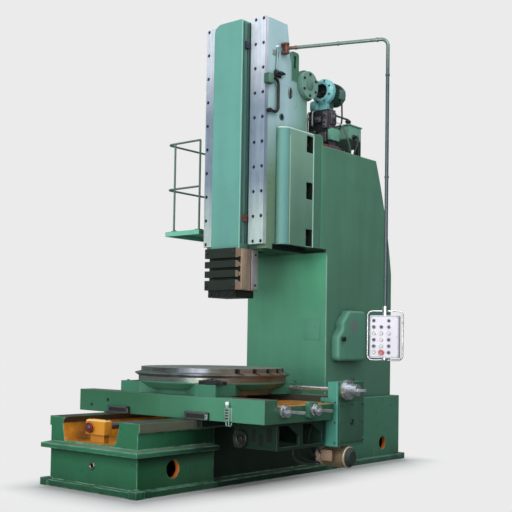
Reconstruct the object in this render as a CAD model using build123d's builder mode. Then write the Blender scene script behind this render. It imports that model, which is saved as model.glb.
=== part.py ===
# Hydraulic slotting machine: a long bed, a column with a tilting ram head, a rotary table and a pendant.
# Millimetres, Z up, X to the operator's side, Y from the table towards the column.
# The origin lies on the floor, at the middle of the bed's foot.

from build123d import *
import math
import os

os.makedirs("parts", exist_ok=True)

# Clearances
slide_gap = 0.1
fit_gap = 0.05
head_side_gap = 6.0

# Bed casting
foot_half_width = 670.0
bed_half_length = 2280.0
foot_height = 60.0
wall_inset = 55.0
bed_wall = 50.0
way_height = 671.0
way_half_width = 636.0
way_depth = 90.0
channel_half_top = 415.0
channel_half_floor = 365.0
channel_mid_x = -42.0
channel_floor = 445.0
channel_corner = 70.0
drip_low = 367.0
drip_height = 63.0
drip_lip = 44.0
drip_overhang = 15.0
front_box_length = 1025.0
waist_half_width = 520.0
pedestal_length = 1590.0
pedestal_half_width = 637.0
pedestal_height = 792.0
front_core_radius = 84.0
front_core_from_end = 456.0
rear_core_radius = 75.0
rear_core_from_end = 380.0
core_height = 224.0
drain_radius = 20.0
drain_height = 239.0
pad_size = 104.0
pad_rise = 12.0
pad_overhang = 14.0
foundation_hole_radius = 18.0
foundation_half_x = 644.0
foundation_outer_from_end = 28.0
foundation_inner_from_end = 1380.0

# Longitudinal feed screw
feed_screw_radius = 35.0
feed_screw_x = -75.0
feed_screw_height = 590.0
bracket_x = -15.0
bracket_width = 265.0
bracket_thickness = 90.0
bracket_block_low = 525.0
bracket_web_width = 190.0
bracket_web_thickness = 60.0
bracket_from_wall = 40.0
bracket_below_way = 7.0
bracket_edge = 12.0
bracket_boss_radius = 52.0
bracket_boss_length = 16.0

# Saddle
saddle_left = -1092.0
saddle_right = 1473.0
saddle_front = -1476.0
saddle_depth = 1360.0
saddle_top = 895.0
cross_way_width = 186.0
cross_channel_floor = 827.0
screw_slot_width = 130.0
screw_slot_floor = 720.0
saddle_end_wall = 50.0
skirt_width = 64.0
skirt_depth = 70.0
pocket_roof = 785.0
pocket_wall = 46.0
lug_half_width = 110.0
lug_length = 200.0
lug_below_axis = 75.0
nut_radius = 58.0
nut_collar_radius = 74.0
nut_collar_length = 20.0
wiper_places = (-456.0, 646.0)
wiper_width = 300.0
wiper_thickness = 25.0
wiper_height = 74.0
wiper_lift = 0.5

# Apron bracket, gearbox and feed motor
apron_left = 870.0
apron_right = 1400.0
apron_front = -1200.0
apron_length = 740.0
apron_bottom = 410.0
apron_plate = 30.0
apron_boss_radius = 80.0
apron_boss_length = 25.0
apron_boss_x = 970.0
apron_boss_z = 497.0
gearbox_left = 1316.0
gearbox_right = 1522.0
gearbox_front = -400.0
gearbox_length = 485.0
gearbox_bottom = 403.0
gearbox_top = 1042.0
gearbox_neck_left = 1405.0
gearbox_shoulder = 880.0
gearbox_wall = 24.0
gearbox_corner = 18.0
gearbox_housing_radius = 98.0
gearbox_housing_length = 24.0
motor_radius = 97.0
motor_length = 410.0
motor_y = -200.0
motor_z = 287.0
motor_end_x = 1579.0
motor_cap_length = 60.0
motor_cowl_slope = 34.0
motor_nose_radius = 80.0
motor_foot_width = 120.0
motor_foot_length = 150.0

# Cross slide
cross_x = 210.0
cross_half_width = 658.0
cross_slide_top = 1010.0
ear_half_gap = 390.0
ear_recess = 90.0
neck_radius = 645.0
cone_low = 950.0
cone_low_radius = 690.0
ring_bottom = 1022.0
ring_radius = 768.0
ring_bore = 560.0
ring_top = 1070.0
cavity_floor = 917.0
cross_screw_radius = 30.0
cross_screw_height = 786.0
cross_nut_x = 560.0
cross_nut_length = 150.0
cross_nut_width = 110.0
cross_nut_below_axis = 50.0
index_block_length = 165.0
index_block_width = 55.0
index_block_height = 44.0

# Rotary table
table_radius = 742.0
table_top = 1160.0
table_flange_radius = 806.0
table_rim_height = 42.0
table_flange_edge = 8.0
table_flange_height = 32.0
table_foot_radius = 772.0
spindle_radius = 150.0
spindle_bottom = 899.0
hub_radius = 300.0
hub_bottom = 1000.0
underside_recess = 15.0
centre_bore_radius = 65.0
centre_bore_depth = 100.0
centre_recess_radius = 80.0
centre_recess_depth = 50.0
slot_count = 5
slot_pitch = 178.0
slot_neck = 28.0
slot_neck_depth = 26.0
slot_foot = 46.0
slot_foot_depth = 22.0

# Worm drive of the table
worm_offset = 506.0
worm_radius = 46.0
worm_length = 160.0
sleeve_radius = 35.0
sleeve_reach = 340.0
feed_shaft_radius = 22.5
feed_shaft_tail = 560.0
wheel_bottom = 930.0
wheel_mesh_gap = 0.4

# Cranks on the operator's side
dial_radius = 54.0
dial_length = 66.0
square_half = 14.0
crank_reach = 262.0
feed_crank_y = -1213.0
feed_crank_z = 786.0
feed_crank_depth = 90.0
feed_crank_radius = 22.0
rotary_dial_radius = 95.0
rotary_dial_length = 56.0
rotary_hub_radius = 58.0
rotary_hub_length = 90.0
rotary_square_length = 92.0
cross_bracket_half = 74.0
cross_bracket_length = 48.0

# Column
column_half_width = 589.0
column_front = 695.0
column_depth = 1395.0
column_top = 3690.0
column_wall = 50.0
column_top_back = 1713.0
column_bulge_y = 1908.0
column_bulge_z = 3131.0
column_back_straight = 2300.0
corbel_radius = 80.0
cheek_root = 545.0
cheek_half_width = 545.0
cheek_front = -70.0
cheek_bottom = 2500.0
cheek_below_hub = 414.0
cheek_ramp = 80.0
cheek_nose_radius = 100.0
cheek_back_radius = 70.0
window_length = 120.0
window_height_share = 0.1456
window_pitch_share = 0.4061
window_top_share = 0.0299

# Covers on the column
side_cover_front = 808.0
side_cover_length = 570.0
side_cover_bottom = 1225.0
side_cover_height = 590.0
side_cover_depth = 105.0
side_cover_wall = 16.0
side_cover_neck = 90.0
side_cover_shoulder_drop = 310.0
side_cover_neck_drop = 220.0
side_cover_crown = 135.0
side_cover_bend = 60.0
side_cover_edge = 34.0
rear_cover_half_width = 505.0
rear_cover_bottom = 860.0
rear_cover_height = 1430.0
rear_cover_depth = 60.0
rear_cover_wall = 12.0
rear_opening_margin = 60.0

# Hydraulic unit on the column
tank_x = 255.0
tank_width = 390.0
tank_front = 1316.0
tank_length = 264.0
tank_bottom = 3836.0
tank_height = 262.0
tank_lid = 14.0
tank_lid_overhang = 12.0
tank_leg = 60.0
tank_wall = 6.0
pump_x = 405.0
pump_block_x = 350.0
pump_front = 830.0
pump_width = 300.0
pump_length = 130.0
pump_base_height = 60.0
pump_block_height = 490.0
pump_motor_radius = 152.0
pump_motor_opening = 86.0
pump_motor_front = 790.0
pump_motor_length = 335.0
pump_barrel_radius = 124.0
pump_motor_foot = 60.0
pipe_radius = 13.0
pipe_bend = 60.0

# Service platform and guard rail
deck_top = 2722.0
deck_thickness = 55.0
deck_plate = 8.0
deck_frame = 40.0
deck_left = -1139.0
deck_front = -200.0
deck_length = 1700.0
deck_bracket_drop = 330.0
deck_bracket_thickness = 40.0
rail_radius = 12.0
rail_top = 1046.0
rail_middle = 505.0
rail_inset = 12.0
rail_corner = 60.0

# Ram head
head_half_width = 434.0
head_top = 4990.0
head_bottom = 2443.0
gib_front = -284.0
gib_thickness = 60.0
gib_inner = 227.0
gib_above_bottom = 50.0
gib_hole_radius = 20.0
gib_hole_depth = 22.0
gib_hole_rows = 10
gib_hole_pitch = 271.5
gib_hole_from_top = 24.0
gib_hole_columns = (292.0, 404.0)
head_back_top = 97.0
head_back_shoulder_y = 172.0
head_back_shoulder_drop = 410.0
head_back_low = 480.0
head_back_low_drop = 780.0
head_wall = 45.0
trunnion_y = 150.0
trunnion_z = 2760.0
trunnion_radius = 70.0
trunnion_in_cheek = 80.0
hub_cover_y = 455.0
hub_cover_drop = 615.0
hub_cover_radius = 156.0
hub_cover_depth = 60.0
hub_boss_radius = 176.0
lug_base_y = 180.0
lug_drop = 275.0
lug_width = 140.0
lug_thickness = 70.0
lug_slot_width = 42.0
lug_slot_height = 150.0
ear_plate = 24.0
ear_gap = 70.0
ear_reach = 46.0

# Ram
ram_half_width = 206.0
ram_front = -405.0
ram_drop = 24.0
ram_flange_half = 310.0
ram_flange_depth = 120.0
ram_left_corner = 105.0
ram_right_corner = 20.0
tool_half_width = 226.0
tool_front = -480.0
tool_step = 2.0
tool_height = 455.0
tool_slots = 3
tool_slot_pitch = 105.0
tool_slot_neck = 34.0
tool_slot_neck_depth = 46.0
tool_slot_foot = 62.0
tool_slot_foot_depth = 36.0
clamp_height = 80.0
clamp_inset = 30.0
dog_length = 70.0
dog_low_rise = 297.0
dog_high_drop = 340.0

# Ram cylinder
cylinder_y = 20.0
cylinder_bore = 70.0
cylinder_wall = 20.0
cylinder_rise = 517.0
cylinder_length = 1250.0
cylinder_cap = 60.0
cylinder_room = 130.0
piston_rise = 680.0
piston_length = 90.0
rod_radius = 45.0
rod_foot_height = 80.0
rod_foot_half = 90.0

# Limit switch and hose on the head
switch_front = -300.0
switch_width = 96.0
switch_drop = 748.0
switch_height = 110.0
switch_depth = 58.0
hose_radius = 16.0
hose_offset = 36.0
hose_above_switch = 74.0
hose_fall = 364.0
hose_back_y = -92.0
hose_end_y = -236.0
hose_bend = 60.0

# Pendant
arm_pivot_y = 21.0
arm_drop = 299.0
arm_length = 1145.0
arm_angle = 20.0
arm_pipe_radius = 19.0
arm_pipe_wall = 3.0
arm_pin_radius = 18.0
arm_bend = 75.0
pendant_bottom = 1250.0
loop_width = 392.0
loop_height = 535.0
loop_tube_radius = 9.0
loop_corner = 52.0
box_width = 308.0
box_height = 448.0
box_depth = 96.0
box_corner = 14.0
box_lift = 30.0
button_shift = -30.0
button_columns = 3
button_rows = 5
button_pitch_x = 80.0
button_pitch_z = 67.0
button_radius = 15.0
button_length = 16.0
button_proud = 7.0
button_travel = 6.0
button_gap = 0.3
button_well_room = 1.0
stop_radius = 27.0
stop_neck = 11.0
stop_lift = 9.0
stop_thickness = 14.0
first_button_drop = 122.0
collar_radius = 30.0
collar_height = 40.0


def save(builder, name):
    builder.part.label = name
    export_step(builder.part, f"parts/{name}.step")


# Places that several pieces share
wall_half = foot_half_width - wall_inset
wall_front = wall_inset - bed_half_length
wall_back = bed_half_length - wall_inset
box_back = wall_front + front_box_length
pedestal_front = wall_back - pedestal_length
drip_half = foot_half_width + drip_overhang
drip_front = -bed_half_length - drip_overhang
saddle_bottom = way_height + slide_gap
saddle_back = saddle_front + saddle_depth
saddle_mid_y = saddle_front + saddle_depth / 2
cross_bottom = saddle_top + slide_gap
table_foot = ring_top + slide_gap
worm_y = saddle_mid_y + worm_offset
worm_height = (wheel_bottom + hub_bottom) / 2
gearbox_back = gearbox_front + gearbox_length
column_back = column_front + column_depth
cheek_inner = head_half_width + head_side_gap
gib_back = gib_front + gib_thickness
ram_flange_front = gib_back + slide_gap
ram_back = ram_flange_front + ram_flange_depth
channel_back = ram_back + slide_gap
tool_back = ram_back - tool_step
gib_bottom = head_bottom + gib_above_bottom
head_back_shoulder_z = head_top - head_back_shoulder_drop
head_back_low_z = head_top - head_back_low_drop
hub_cover_z = head_top - hub_cover_drop
cheek_top = hub_cover_z - hub_cover_radius - cheek_below_hub
cheek_height = cheek_top - cheek_bottom
window_height = cheek_height * window_height_share
window_pitch = cheek_height * window_pitch_share
window_top = cheek_top - cheek_height * window_top_share
lug_top_z = head_top - lug_drop
arm_height = head_top - arm_drop
ram_top = head_top - ram_drop
cylinder_bottom = head_bottom + cylinder_rise
piston_rest = cylinder_bottom + piston_rise
switch_bottom = head_top - switch_drop
hose_top_z = switch_bottom + hose_above_switch
hose_low_z = hose_top_z - hose_fall

# Bed: hollow grey-iron casting on a foot flange, open below, with two flat ways and an oil channel
with BuildPart() as bed:
    with BuildSketch():
        Rectangle(2 * foot_half_width, 2 * bed_half_length)
    extrude(amount=foot_height)
    # Raised pads at the corners for the outer foundation bolts
    with BuildSketch():
        with GridLocations(
            2 * (foot_half_width + pad_overhang) - pad_size,
            2 * (bed_half_length + pad_overhang) - pad_size,
            2,
            2,
        ):
            Rectangle(pad_size, pad_size)
    extrude(amount=foot_height + pad_rise)
    with BuildSketch():
        with Locations((0, (wall_front + box_back) / 2)):
            Rectangle(2 * wall_half, front_box_length)
        with Locations((0, (wall_front + wall_back) / 2)):
            Rectangle(2 * waist_half_width, wall_back - wall_front)
    extrude(amount=way_height)
    with BuildSketch():
        with Locations((0, (pedestal_front + wall_back) / 2)):
            Rectangle(2 * pedestal_half_width, pedestal_length)
    extrude(amount=pedestal_height)
    with BuildSketch(Plane.XY.offset(way_height - way_depth)):
        with Locations((0, (wall_front + pedestal_front) / 2)):
            Rectangle(2 * way_half_width, pedestal_front - wall_front)
    extrude(amount=way_depth)
    # Drip flange round the front box, with a sloping top
    with BuildSketch(Plane.XY.offset(drip_low)) as drip_sketch:
        with Locations((0, (drip_front + box_back) / 2)):
            Rectangle(2 * drip_half, box_back - drip_front)
    extrude(amount=drip_lip)
    drip_slope = math.degrees(math.atan((drip_half - wall_half) / (drip_height - drip_lip)))
    with BuildSketch(Plane.XY.offset(drip_low + drip_lip)):
        add(drip_sketch.sketch.moved(Location((0, 0, -drip_low))))
    extrude(amount=drip_height - drip_lip, taper=drip_slope)
    # Oil channel between the ways, open at the front end
    with BuildSketch(Plane.XZ.offset(-pedestal_front)) as channel_sketch:
        with BuildLine():
            Polyline(
                (channel_mid_x - channel_half_floor, channel_floor),
                (channel_mid_x + channel_half_floor, channel_floor),
                (channel_mid_x + channel_half_top, way_height),
                (channel_mid_x - channel_half_top, way_height),
                close=True,
            )
        make_face()
        fillet(channel_sketch.vertices().sort_by(Axis.Z)[:2], channel_corner)
    extrude(amount=pedestal_front - wall_front, mode=Mode.SUBTRACT)
    # Cored inside
    with BuildSketch():
        with Locations((0, (wall_front + box_back) / 2)):
            Rectangle(2 * (wall_half - bed_wall), front_box_length - 2 * bed_wall)
        with Locations((0, (wall_front + wall_back) / 2)):
            Rectangle(2 * (waist_half_width - bed_wall), wall_back - wall_front - 2 * bed_wall)
    extrude(amount=channel_floor - bed_wall, mode=Mode.SUBTRACT)
    with BuildSketch():
        with Locations((0, (pedestal_front + wall_back) / 2)):
            Rectangle(2 * (pedestal_half_width - bed_wall), pedestal_length - 2 * bed_wall)
    extrude(amount=pedestal_height - bed_wall, mode=Mode.SUBTRACT)
    # Core holes in both sides, the drain hole in the front and the screw's rear seat
    with BuildSketch(Plane.YZ):
        with Locations((wall_front + front_core_from_end, core_height)):
            Circle(front_core_radius)
        with Locations((wall_back - rear_core_from_end, core_height)):
            Circle(rear_core_radius)
    extrude(amount=foot_half_width, both=True, mode=Mode.SUBTRACT)
    with BuildSketch(Plane.XZ.offset(-wall_front)):
        with Locations((0, drain_height)):
            Circle(drain_radius)
    extrude(amount=-bed_wall, mode=Mode.SUBTRACT)
    with BuildSketch(Plane.XZ.offset(-pedestal_front)):
        with Locations((feed_screw_x, feed_screw_height)):
            Circle(feed_screw_radius + fit_gap)
    extrude(amount=-bed_wall, mode=Mode.SUBTRACT)
    # Foundation bolt holes
    for from_end in (foundation_outer_from_end, foundation_inner_from_end):
        with Locations((0, 0, foot_height + pad_rise)):
            with GridLocations(2 * foundation_half_x, 2 * (bed_half_length - from_end), 2, 2):
                Hole(foundation_hole_radius, depth=foot_height + pad_rise)
save(bed, "bed")

# Front bracket of the longitudinal screw: a bearing block with a round boss, on a web in the channel
bracket_front = wall_front + bracket_from_wall
with BuildPart() as screw_bracket:
    with BuildSketch(Plane.XY.offset(bracket_block_low)):
        with Locations((bracket_x, bracket_front + bracket_thickness / 2)):
            Rectangle(bracket_width, bracket_thickness)
    extrude(amount=way_height - bracket_below_way - bracket_block_low)
    chamfer(screw_bracket.faces().sort_by(Axis.Z)[-1].edges(), bracket_edge)
    with BuildSketch(Plane.XY.offset(channel_floor)):
        with Locations((bracket_x, bracket_front + bracket_thickness - bracket_web_thickness / 2)):
            Rectangle(bracket_web_width, bracket_web_thickness)
    extrude(amount=bracket_block_low - channel_floor)
    with BuildSketch(Plane.XZ.offset(-bracket_front)):
        with Locations((feed_screw_x, feed_screw_height)):
            Circle(bracket_boss_radius)
    extrude(amount=bracket_boss_length)
    with BuildSketch(Plane.XZ.offset(bracket_boss_length - bracket_front)):
        with Locations((feed_screw_x, feed_screw_height)):
            Circle(feed_screw_radius + fit_gap)
    extrude(amount=-(bracket_thickness + bracket_boss_length), mode=Mode.SUBTRACT)
save(screw_bracket, "screw_bracket")

# Longitudinal feed screw, held still in the bracket and in the pedestal wall
with BuildPart() as feed_screw:
    with BuildSketch(Plane.XZ.offset(-wall_front)):
        with Locations((feed_screw_x, feed_screw_height)):
            Circle(feed_screw_radius)
    extrude(amount=-(pedestal_front + bed_wall - wall_front))
save(feed_screw, "feed_screw")

# Saddle: ribbed casting that slides along the bed and carries the cross ways
lug_front = saddle_mid_y - lug_length / 2
with BuildPart() as saddle:
    with BuildSketch(Plane.XY.offset(saddle_bottom)):
        with Locations(((saddle_left + saddle_right) / 2, saddle_mid_y)):
            Rectangle(saddle_right - saddle_left, saddle_depth)
    extrude(amount=saddle_top - saddle_bottom)
    # Guide skirts outside the ways
    with BuildSketch(Plane.XY.offset(saddle_bottom - skirt_depth)):
        for side in (-1, 1):
            with Locations((side * (way_half_width + slide_gap + skirt_width / 2), saddle_mid_y)):
                Rectangle(skirt_width, saddle_depth)
    extrude(amount=skirt_depth)
    # Lug for the feed nut
    with BuildSketch(Plane.XY.offset(feed_screw_height - lug_below_axis)):
        with Locations((feed_screw_x, saddle_mid_y)):
            Rectangle(2 * lug_half_width, lug_length)
    extrude(amount=saddle_bottom - feed_screw_height + lug_below_axis)
    with BuildSketch(Plane.XZ.offset(-lug_front)):
        with Locations((feed_screw_x, feed_screw_height)):
            Circle(nut_radius + fit_gap)
    extrude(amount=-lug_length, mode=Mode.SUBTRACT)
    # Cross channel, and the slot for the cross screw in its floor
    with BuildSketch(Plane.XY.offset(cross_channel_floor)):
        with Locations(((saddle_left + saddle_right) / 2, saddle_mid_y)):
            Rectangle(saddle_right - saddle_left, saddle_depth - 2 * cross_way_width)
    extrude(amount=saddle_top - cross_channel_floor, mode=Mode.SUBTRACT)
    with BuildSketch(Plane.XY.offset(screw_slot_floor)):
        with Locations(((saddle_left + saddle_right) / 2, saddle_mid_y)):
            Rectangle(saddle_right - saddle_left - 2 * saddle_end_wall, screw_slot_width)
    extrude(amount=cross_channel_floor - screw_slot_floor, mode=Mode.SUBTRACT)
    # Lightening pockets under both wings, with a rib under the screw slot
    skirt_outer = way_half_width + slide_gap + skirt_width
    pocket_length = (saddle_depth - screw_slot_width) / 2 - 2 * pocket_wall
    for wing_left, wing_right in ((saddle_left, -skirt_outer), (skirt_outer, apron_left)):
        with BuildSketch(Plane.XY.offset(saddle_bottom)):
            for side in (-1, 1):
                pocket_y = saddle_mid_y + side * (screw_slot_width / 2 + pocket_wall + pocket_length / 2)
                with Locations(((wing_left + wing_right) / 2, pocket_y)):
                    Rectangle(wing_right - wing_left - 2 * pocket_wall, pocket_length)
        extrude(amount=pocket_roof - saddle_bottom, mode=Mode.SUBTRACT)
    # Corner cut away for the gearbox
    with BuildSketch(Plane.XY.offset(saddle_bottom)):
        with Locations(((gearbox_left + saddle_right) / 2, (gearbox_front + saddle_back) / 2)):
            Rectangle(saddle_right - gearbox_left, saddle_back - gearbox_front)
    extrude(amount=saddle_top - saddle_bottom, mode=Mode.SUBTRACT)
    # Bearings of the cross screw and of the longitudinal crank
    with BuildSketch(Plane.YZ.offset(saddle_left)):
        with Locations((saddle_mid_y, cross_screw_height)):
            Circle(cross_screw_radius + fit_gap)
    extrude(amount=saddle_right - saddle_left, mode=Mode.SUBTRACT)
    with BuildSketch(Plane.YZ.offset(saddle_right)):
        with Locations((feed_crank_y, feed_crank_z)):
            Circle(feed_crank_radius + fit_gap)
    extrude(amount=-feed_crank_depth, mode=Mode.SUBTRACT)
save(saddle, "saddle")

# Rotating bronze nut of the longitudinal feed, held in the saddle's lug by its two collars
with BuildPart() as feed_nut:
    with BuildSketch(Plane.XZ.offset(-(lug_front - slide_gap))):
        with Locations((feed_screw_x, feed_screw_height)):
            Circle(nut_radius)
    extrude(amount=-(lug_length + 2 * slide_gap))
    for collar_y in (lug_front - slide_gap - nut_collar_length, lug_front + lug_length + slide_gap):
        with BuildSketch(Plane.XZ.offset(-collar_y)):
            with Locations((feed_screw_x, feed_screw_height)):
                Circle(nut_collar_radius)
        extrude(amount=-nut_collar_length)
    with BuildSketch(Plane.XZ.offset(-(lug_front - slide_gap - nut_collar_length))):
        with Locations((feed_screw_x, feed_screw_height)):
            Circle(feed_screw_radius + fit_gap)
    extrude(amount=-(lug_length + 2 * slide_gap + 2 * nut_collar_length), mode=Mode.SUBTRACT)
save(feed_nut, "feed_nut")

# Way wipers: four holders screwed to the saddle's ends over the bed ways
with BuildPart() as way_wipers:
    with BuildSketch(Plane.XY.offset(way_height + wiper_lift)):
        for wiper_y in (saddle_front - wiper_thickness / 2, saddle_back + wiper_thickness / 2):
            for wiper_x in wiper_places:
                with Locations((wiper_x, wiper_y)):
                    Rectangle(wiper_width, wiper_thickness)
    extrude(amount=wiper_height)
save(way_wipers, "way_wipers")

# Apron bracket: webbed casting under the right wing, with windows and a round bearing flange
apron_back = apron_front + apron_length
apron_height = saddle_bottom - apron_bottom
with BuildPart() as apron_bracket:
    with BuildSketch(Plane.XY.offset(apron_bottom)):
        with Locations(((apron_left + apron_right) / 2, (apron_front + apron_back) / 2)):
            Rectangle(apron_right - apron_left, apron_length)
            Rectangle(
                apron_right - apron_left - 2 * apron_plate,
                apron_length - 2 * apron_plate,
                mode=Mode.SUBTRACT,
            )
    extrude(amount=apron_height)
    # Sloping windows in the two long sides
    with BuildSketch(Plane.YZ.offset(apron_left)):
        window_base = apron_length / 2 - 2 * apron_plate
        window_rise = apron_height - 2 * apron_plate
        for start in (apron_front + apron_plate, (apron_front + apron_back) / 2 + apron_plate):
            with BuildLine():
                Polyline(
                    (start, apron_bottom + apron_plate),
                    (start + window_base, apron_bottom + apron_plate),
                    (start + window_base, apron_bottom + apron_plate + window_rise * 0.5),
                    (start + window_base * 0.5, apron_bottom + apron_plate + window_rise),
                    (start, apron_bottom + apron_plate + window_rise),
                    close=True,
                )
            make_face()
    extrude(amount=apron_right - apron_left, mode=Mode.SUBTRACT)
    with BuildSketch(Plane.XZ.offset(-apron_front)):
        with Locations((apron_boss_x, apron_boss_z)):
            Circle(apron_boss_radius)
    extrude(amount=apron_boss_length)
save(apron_bracket, "apron_bracket")

# Feed gearbox at the saddle's right rear corner: hollow, stepped back above, with a round bearing housing
with BuildPart() as feed_gearbox:
    with BuildSketch(Plane.XY.offset(gearbox_bottom)) as gearbox_plan:
        with Locations(((gearbox_left + gearbox_right) / 2, (gearbox_front + gearbox_back) / 2)):
            Rectangle(gearbox_right - gearbox_left, gearbox_length)
        fillet(gearbox_plan.vertices().group_by(Axis.X)[-1], gearbox_corner)
    extrude(amount=gearbox_top - gearbox_bottom)
    with BuildSketch(Plane.XY.offset(gearbox_shoulder)):
        with Locations(((gearbox_left + gearbox_neck_left) / 2, (gearbox_front + gearbox_back) / 2)):
            Rectangle(gearbox_neck_left - gearbox_left, gearbox_length)
    extrude(amount=gearbox_top - gearbox_shoulder, mode=Mode.SUBTRACT)
    with BuildSketch(Plane.YZ.offset(gearbox_right)):
        with Locations((worm_y, worm_height)):
            Circle(gearbox_housing_radius)
    extrude(amount=gearbox_housing_length)
    with BuildSketch(Plane.XY.offset(gearbox_bottom + gearbox_wall)):
        with Locations(((gearbox_left + gearbox_right) / 2, (gearbox_front + gearbox_back) / 2)):
            Rectangle(gearbox_right - gearbox_left - 2 * gearbox_wall, gearbox_length - 2 * gearbox_wall)
    extrude(amount=gearbox_shoulder - gearbox_bottom - 2 * gearbox_wall, mode=Mode.SUBTRACT)
    with BuildSketch(Plane.XY.offset(gearbox_shoulder - gearbox_wall)):
        with Locations(((gearbox_neck_left + gearbox_right) / 2, (gearbox_front + gearbox_back) / 2)):
            neck_inside = gearbox_right - gearbox_neck_left - 2 * gearbox_wall
            Rectangle(neck_inside, gearbox_length - 2 * gearbox_wall)
    extrude(amount=gearbox_top - gearbox_shoulder, mode=Mode.SUBTRACT)
    with BuildSketch(Plane.YZ.offset(gearbox_left)):
        with Locations((worm_y, worm_height)):
            Circle(feed_shaft_radius + fit_gap)
    extrude(amount=gearbox_right - gearbox_left + gearbox_housing_length, mode=Mode.SUBTRACT)
save(feed_gearbox, "feed_gearbox")

# Feed motor hung under the gearbox by its foot, shaft along X, with a sloped fan cowl
motor_start = motor_end_x - motor_length
with BuildPart() as feed_motor:
    with BuildSketch(Plane.YZ.offset(motor_start)):
        with Locations((motor_y, motor_z)):
            Circle(motor_nose_radius)
    extrude(amount=motor_cap_length)
    with BuildSketch(Plane.YZ.offset(motor_start + motor_cap_length)):
        with Locations((motor_y, motor_z)):
            Circle(motor_radius)
    extrude(amount=motor_length - motor_cap_length)
    chamfer(feed_motor.edges().filter_by(GeomType.CIRCLE).sort_by(Axis.X)[-1], motor_cowl_slope)
    with BuildSketch(Plane.XY.offset(motor_z)):
        with Locations((gearbox_left + motor_foot_length / 2, motor_y)):
            Rectangle(motor_foot_length, motor_foot_width)
    extrude(amount=gearbox_bottom - motor_z)
save(feed_motor, "feed_motor")

# Bearing bracket of the cross screw on the saddle's right end
with BuildPart() as cross_bracket:
    with BuildSketch(Plane.YZ.offset(saddle_right)):
        with Locations((saddle_mid_y, cross_screw_height)):
            RectangleRounded(2 * cross_bracket_half, 2 * cross_bracket_half, cross_bracket_half / 4)
            Circle(cross_screw_radius + fit_gap, mode=Mode.SUBTRACT)
    extrude(amount=cross_bracket_length)
save(cross_bracket, "cross_bracket")


def turned_shaft(y, z, start, steps, square_end):
    """A shaft along X in round steps of (radius, end), with a squared end for a crank handle."""
    with BuildPart() as shaft:
        for radius, end in steps:
            with BuildSketch(Plane.YZ.offset(start)):
                with Locations((y, z)):
                    Circle(radius)
            extrude(amount=end - start)
            start = end
        with BuildSketch(Plane.YZ.offset(start)):
            with Locations((y, z)):
                Rectangle(2 * square_half, 2 * square_half)
        extrude(amount=square_end - start)
    return shaft


# Cross screw, running through the saddle from end to end, with its dial and squared end
cross_dial_x = saddle_right + cross_bracket_length + slide_gap
cross_screw = turned_shaft(
    saddle_mid_y,
    cross_screw_height,
    saddle_left,
    [(cross_screw_radius, cross_dial_x), (dial_radius, cross_dial_x + dial_length)],
    saddle_right + crank_reach,
)
save(cross_screw, "cross_screw")

# Longitudinal feed crank: a stub shaft in the saddle's right end
crank_dial_x = saddle_right + slide_gap
feed_crank = turned_shaft(
    feed_crank_y,
    feed_crank_z,
    crank_dial_x - feed_crank_depth,
    [(feed_crank_radius, crank_dial_x), (dial_radius, crank_dial_x + dial_length)],
    saddle_right + crank_reach,
)
save(feed_crank, "feed_crank")

# Rotary feed shaft: through the gearbox and the worm, with a large dial and a hub
rotary_dial_x = gearbox_right + gearbox_housing_length + slide_gap
rotary_hub_x = rotary_dial_x + rotary_dial_length
feed_shaft = turned_shaft(
    worm_y,
    worm_height,
    -feed_shaft_tail,
    [
        (feed_shaft_radius, rotary_dial_x),
        (rotary_dial_radius, rotary_hub_x),
        (rotary_hub_radius, rotary_hub_x + rotary_hub_length),
    ],
    rotary_hub_x + rotary_hub_length + rotary_square_length,
)
save(feed_shaft, "feed_shaft")

# Cross slide: plate with four ears, a round neck and seat for the table and a pit for the worm drive
cross_left = cross_x - cross_half_width
cross_right = cross_x + cross_half_width
sleeve_left = cross_x - sleeve_reach
ear_arc = (ear_half_gap**2 + ear_recess**2) / (2 * ear_recess)
table_axis = Axis((cross_x, saddle_mid_y, 0), (0, 0, 1))
with BuildPart() as cross_slide:
    with BuildSketch(Plane.XY.offset(cross_bottom)):
        with Locations((cross_x, saddle_mid_y)):
            Rectangle(2 * cross_half_width, saddle_depth)
        for side in (-1, 1):
            with Locations((cross_x, saddle_mid_y + side * (saddle_depth / 2 - ear_recess + ear_arc))):
                Circle(ear_arc, mode=Mode.SUBTRACT)
            with Locations((cross_x + side * (cross_half_width - ear_recess + ear_arc), saddle_mid_y)):
                Circle(ear_arc, mode=Mode.SUBTRACT)
    extrude(amount=cross_slide_top - cross_bottom)
    with BuildSketch(Plane.XY.offset(cross_bottom)):
        with Locations((cross_x, saddle_mid_y)):
            Circle(neck_radius)
    extrude(amount=ring_bottom - cross_bottom)
    with BuildSketch(Plane.XZ.offset(-saddle_mid_y)):
        with BuildLine():
            Polyline(
                (cross_x, cone_low),
                (cross_x + cone_low_radius, cone_low),
                (cross_x + ring_radius, cross_slide_top),
                (cross_x + ring_radius, ring_bottom),
                (cross_x, ring_bottom),
                close=True,
            )
        make_face()
    revolve(axis=table_axis)
    with BuildSketch(Plane.XY.offset(cavity_floor)):
        with Locations((cross_x, saddle_mid_y)):
            Circle(ring_bore)
    extrude(amount=ring_bottom - cavity_floor, mode=Mode.SUBTRACT)
    with BuildSketch(Plane.XY.offset(cross_bottom)):
        with Locations((cross_x, saddle_mid_y)):
            Circle(spindle_radius + fit_gap)
    extrude(amount=cavity_floor - cross_bottom, mode=Mode.SUBTRACT)
    # Bearings of the worm sleeve, and a way out for the shaft's tail
    with BuildSketch(Plane.YZ.offset(sleeve_left)):
        with Locations((worm_y, worm_height)):
            Circle(sleeve_radius + fit_gap)
    extrude(amount=cross_right - sleeve_left, mode=Mode.SUBTRACT)
    with BuildSketch(Plane.YZ.offset(cross_left)):
        with Locations((worm_y, worm_height)):
            Circle((feed_shaft_radius + sleeve_radius) / 2)
    extrude(amount=sleeve_left - cross_left, mode=Mode.SUBTRACT)
save(cross_slide, "cross_slide")

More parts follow.
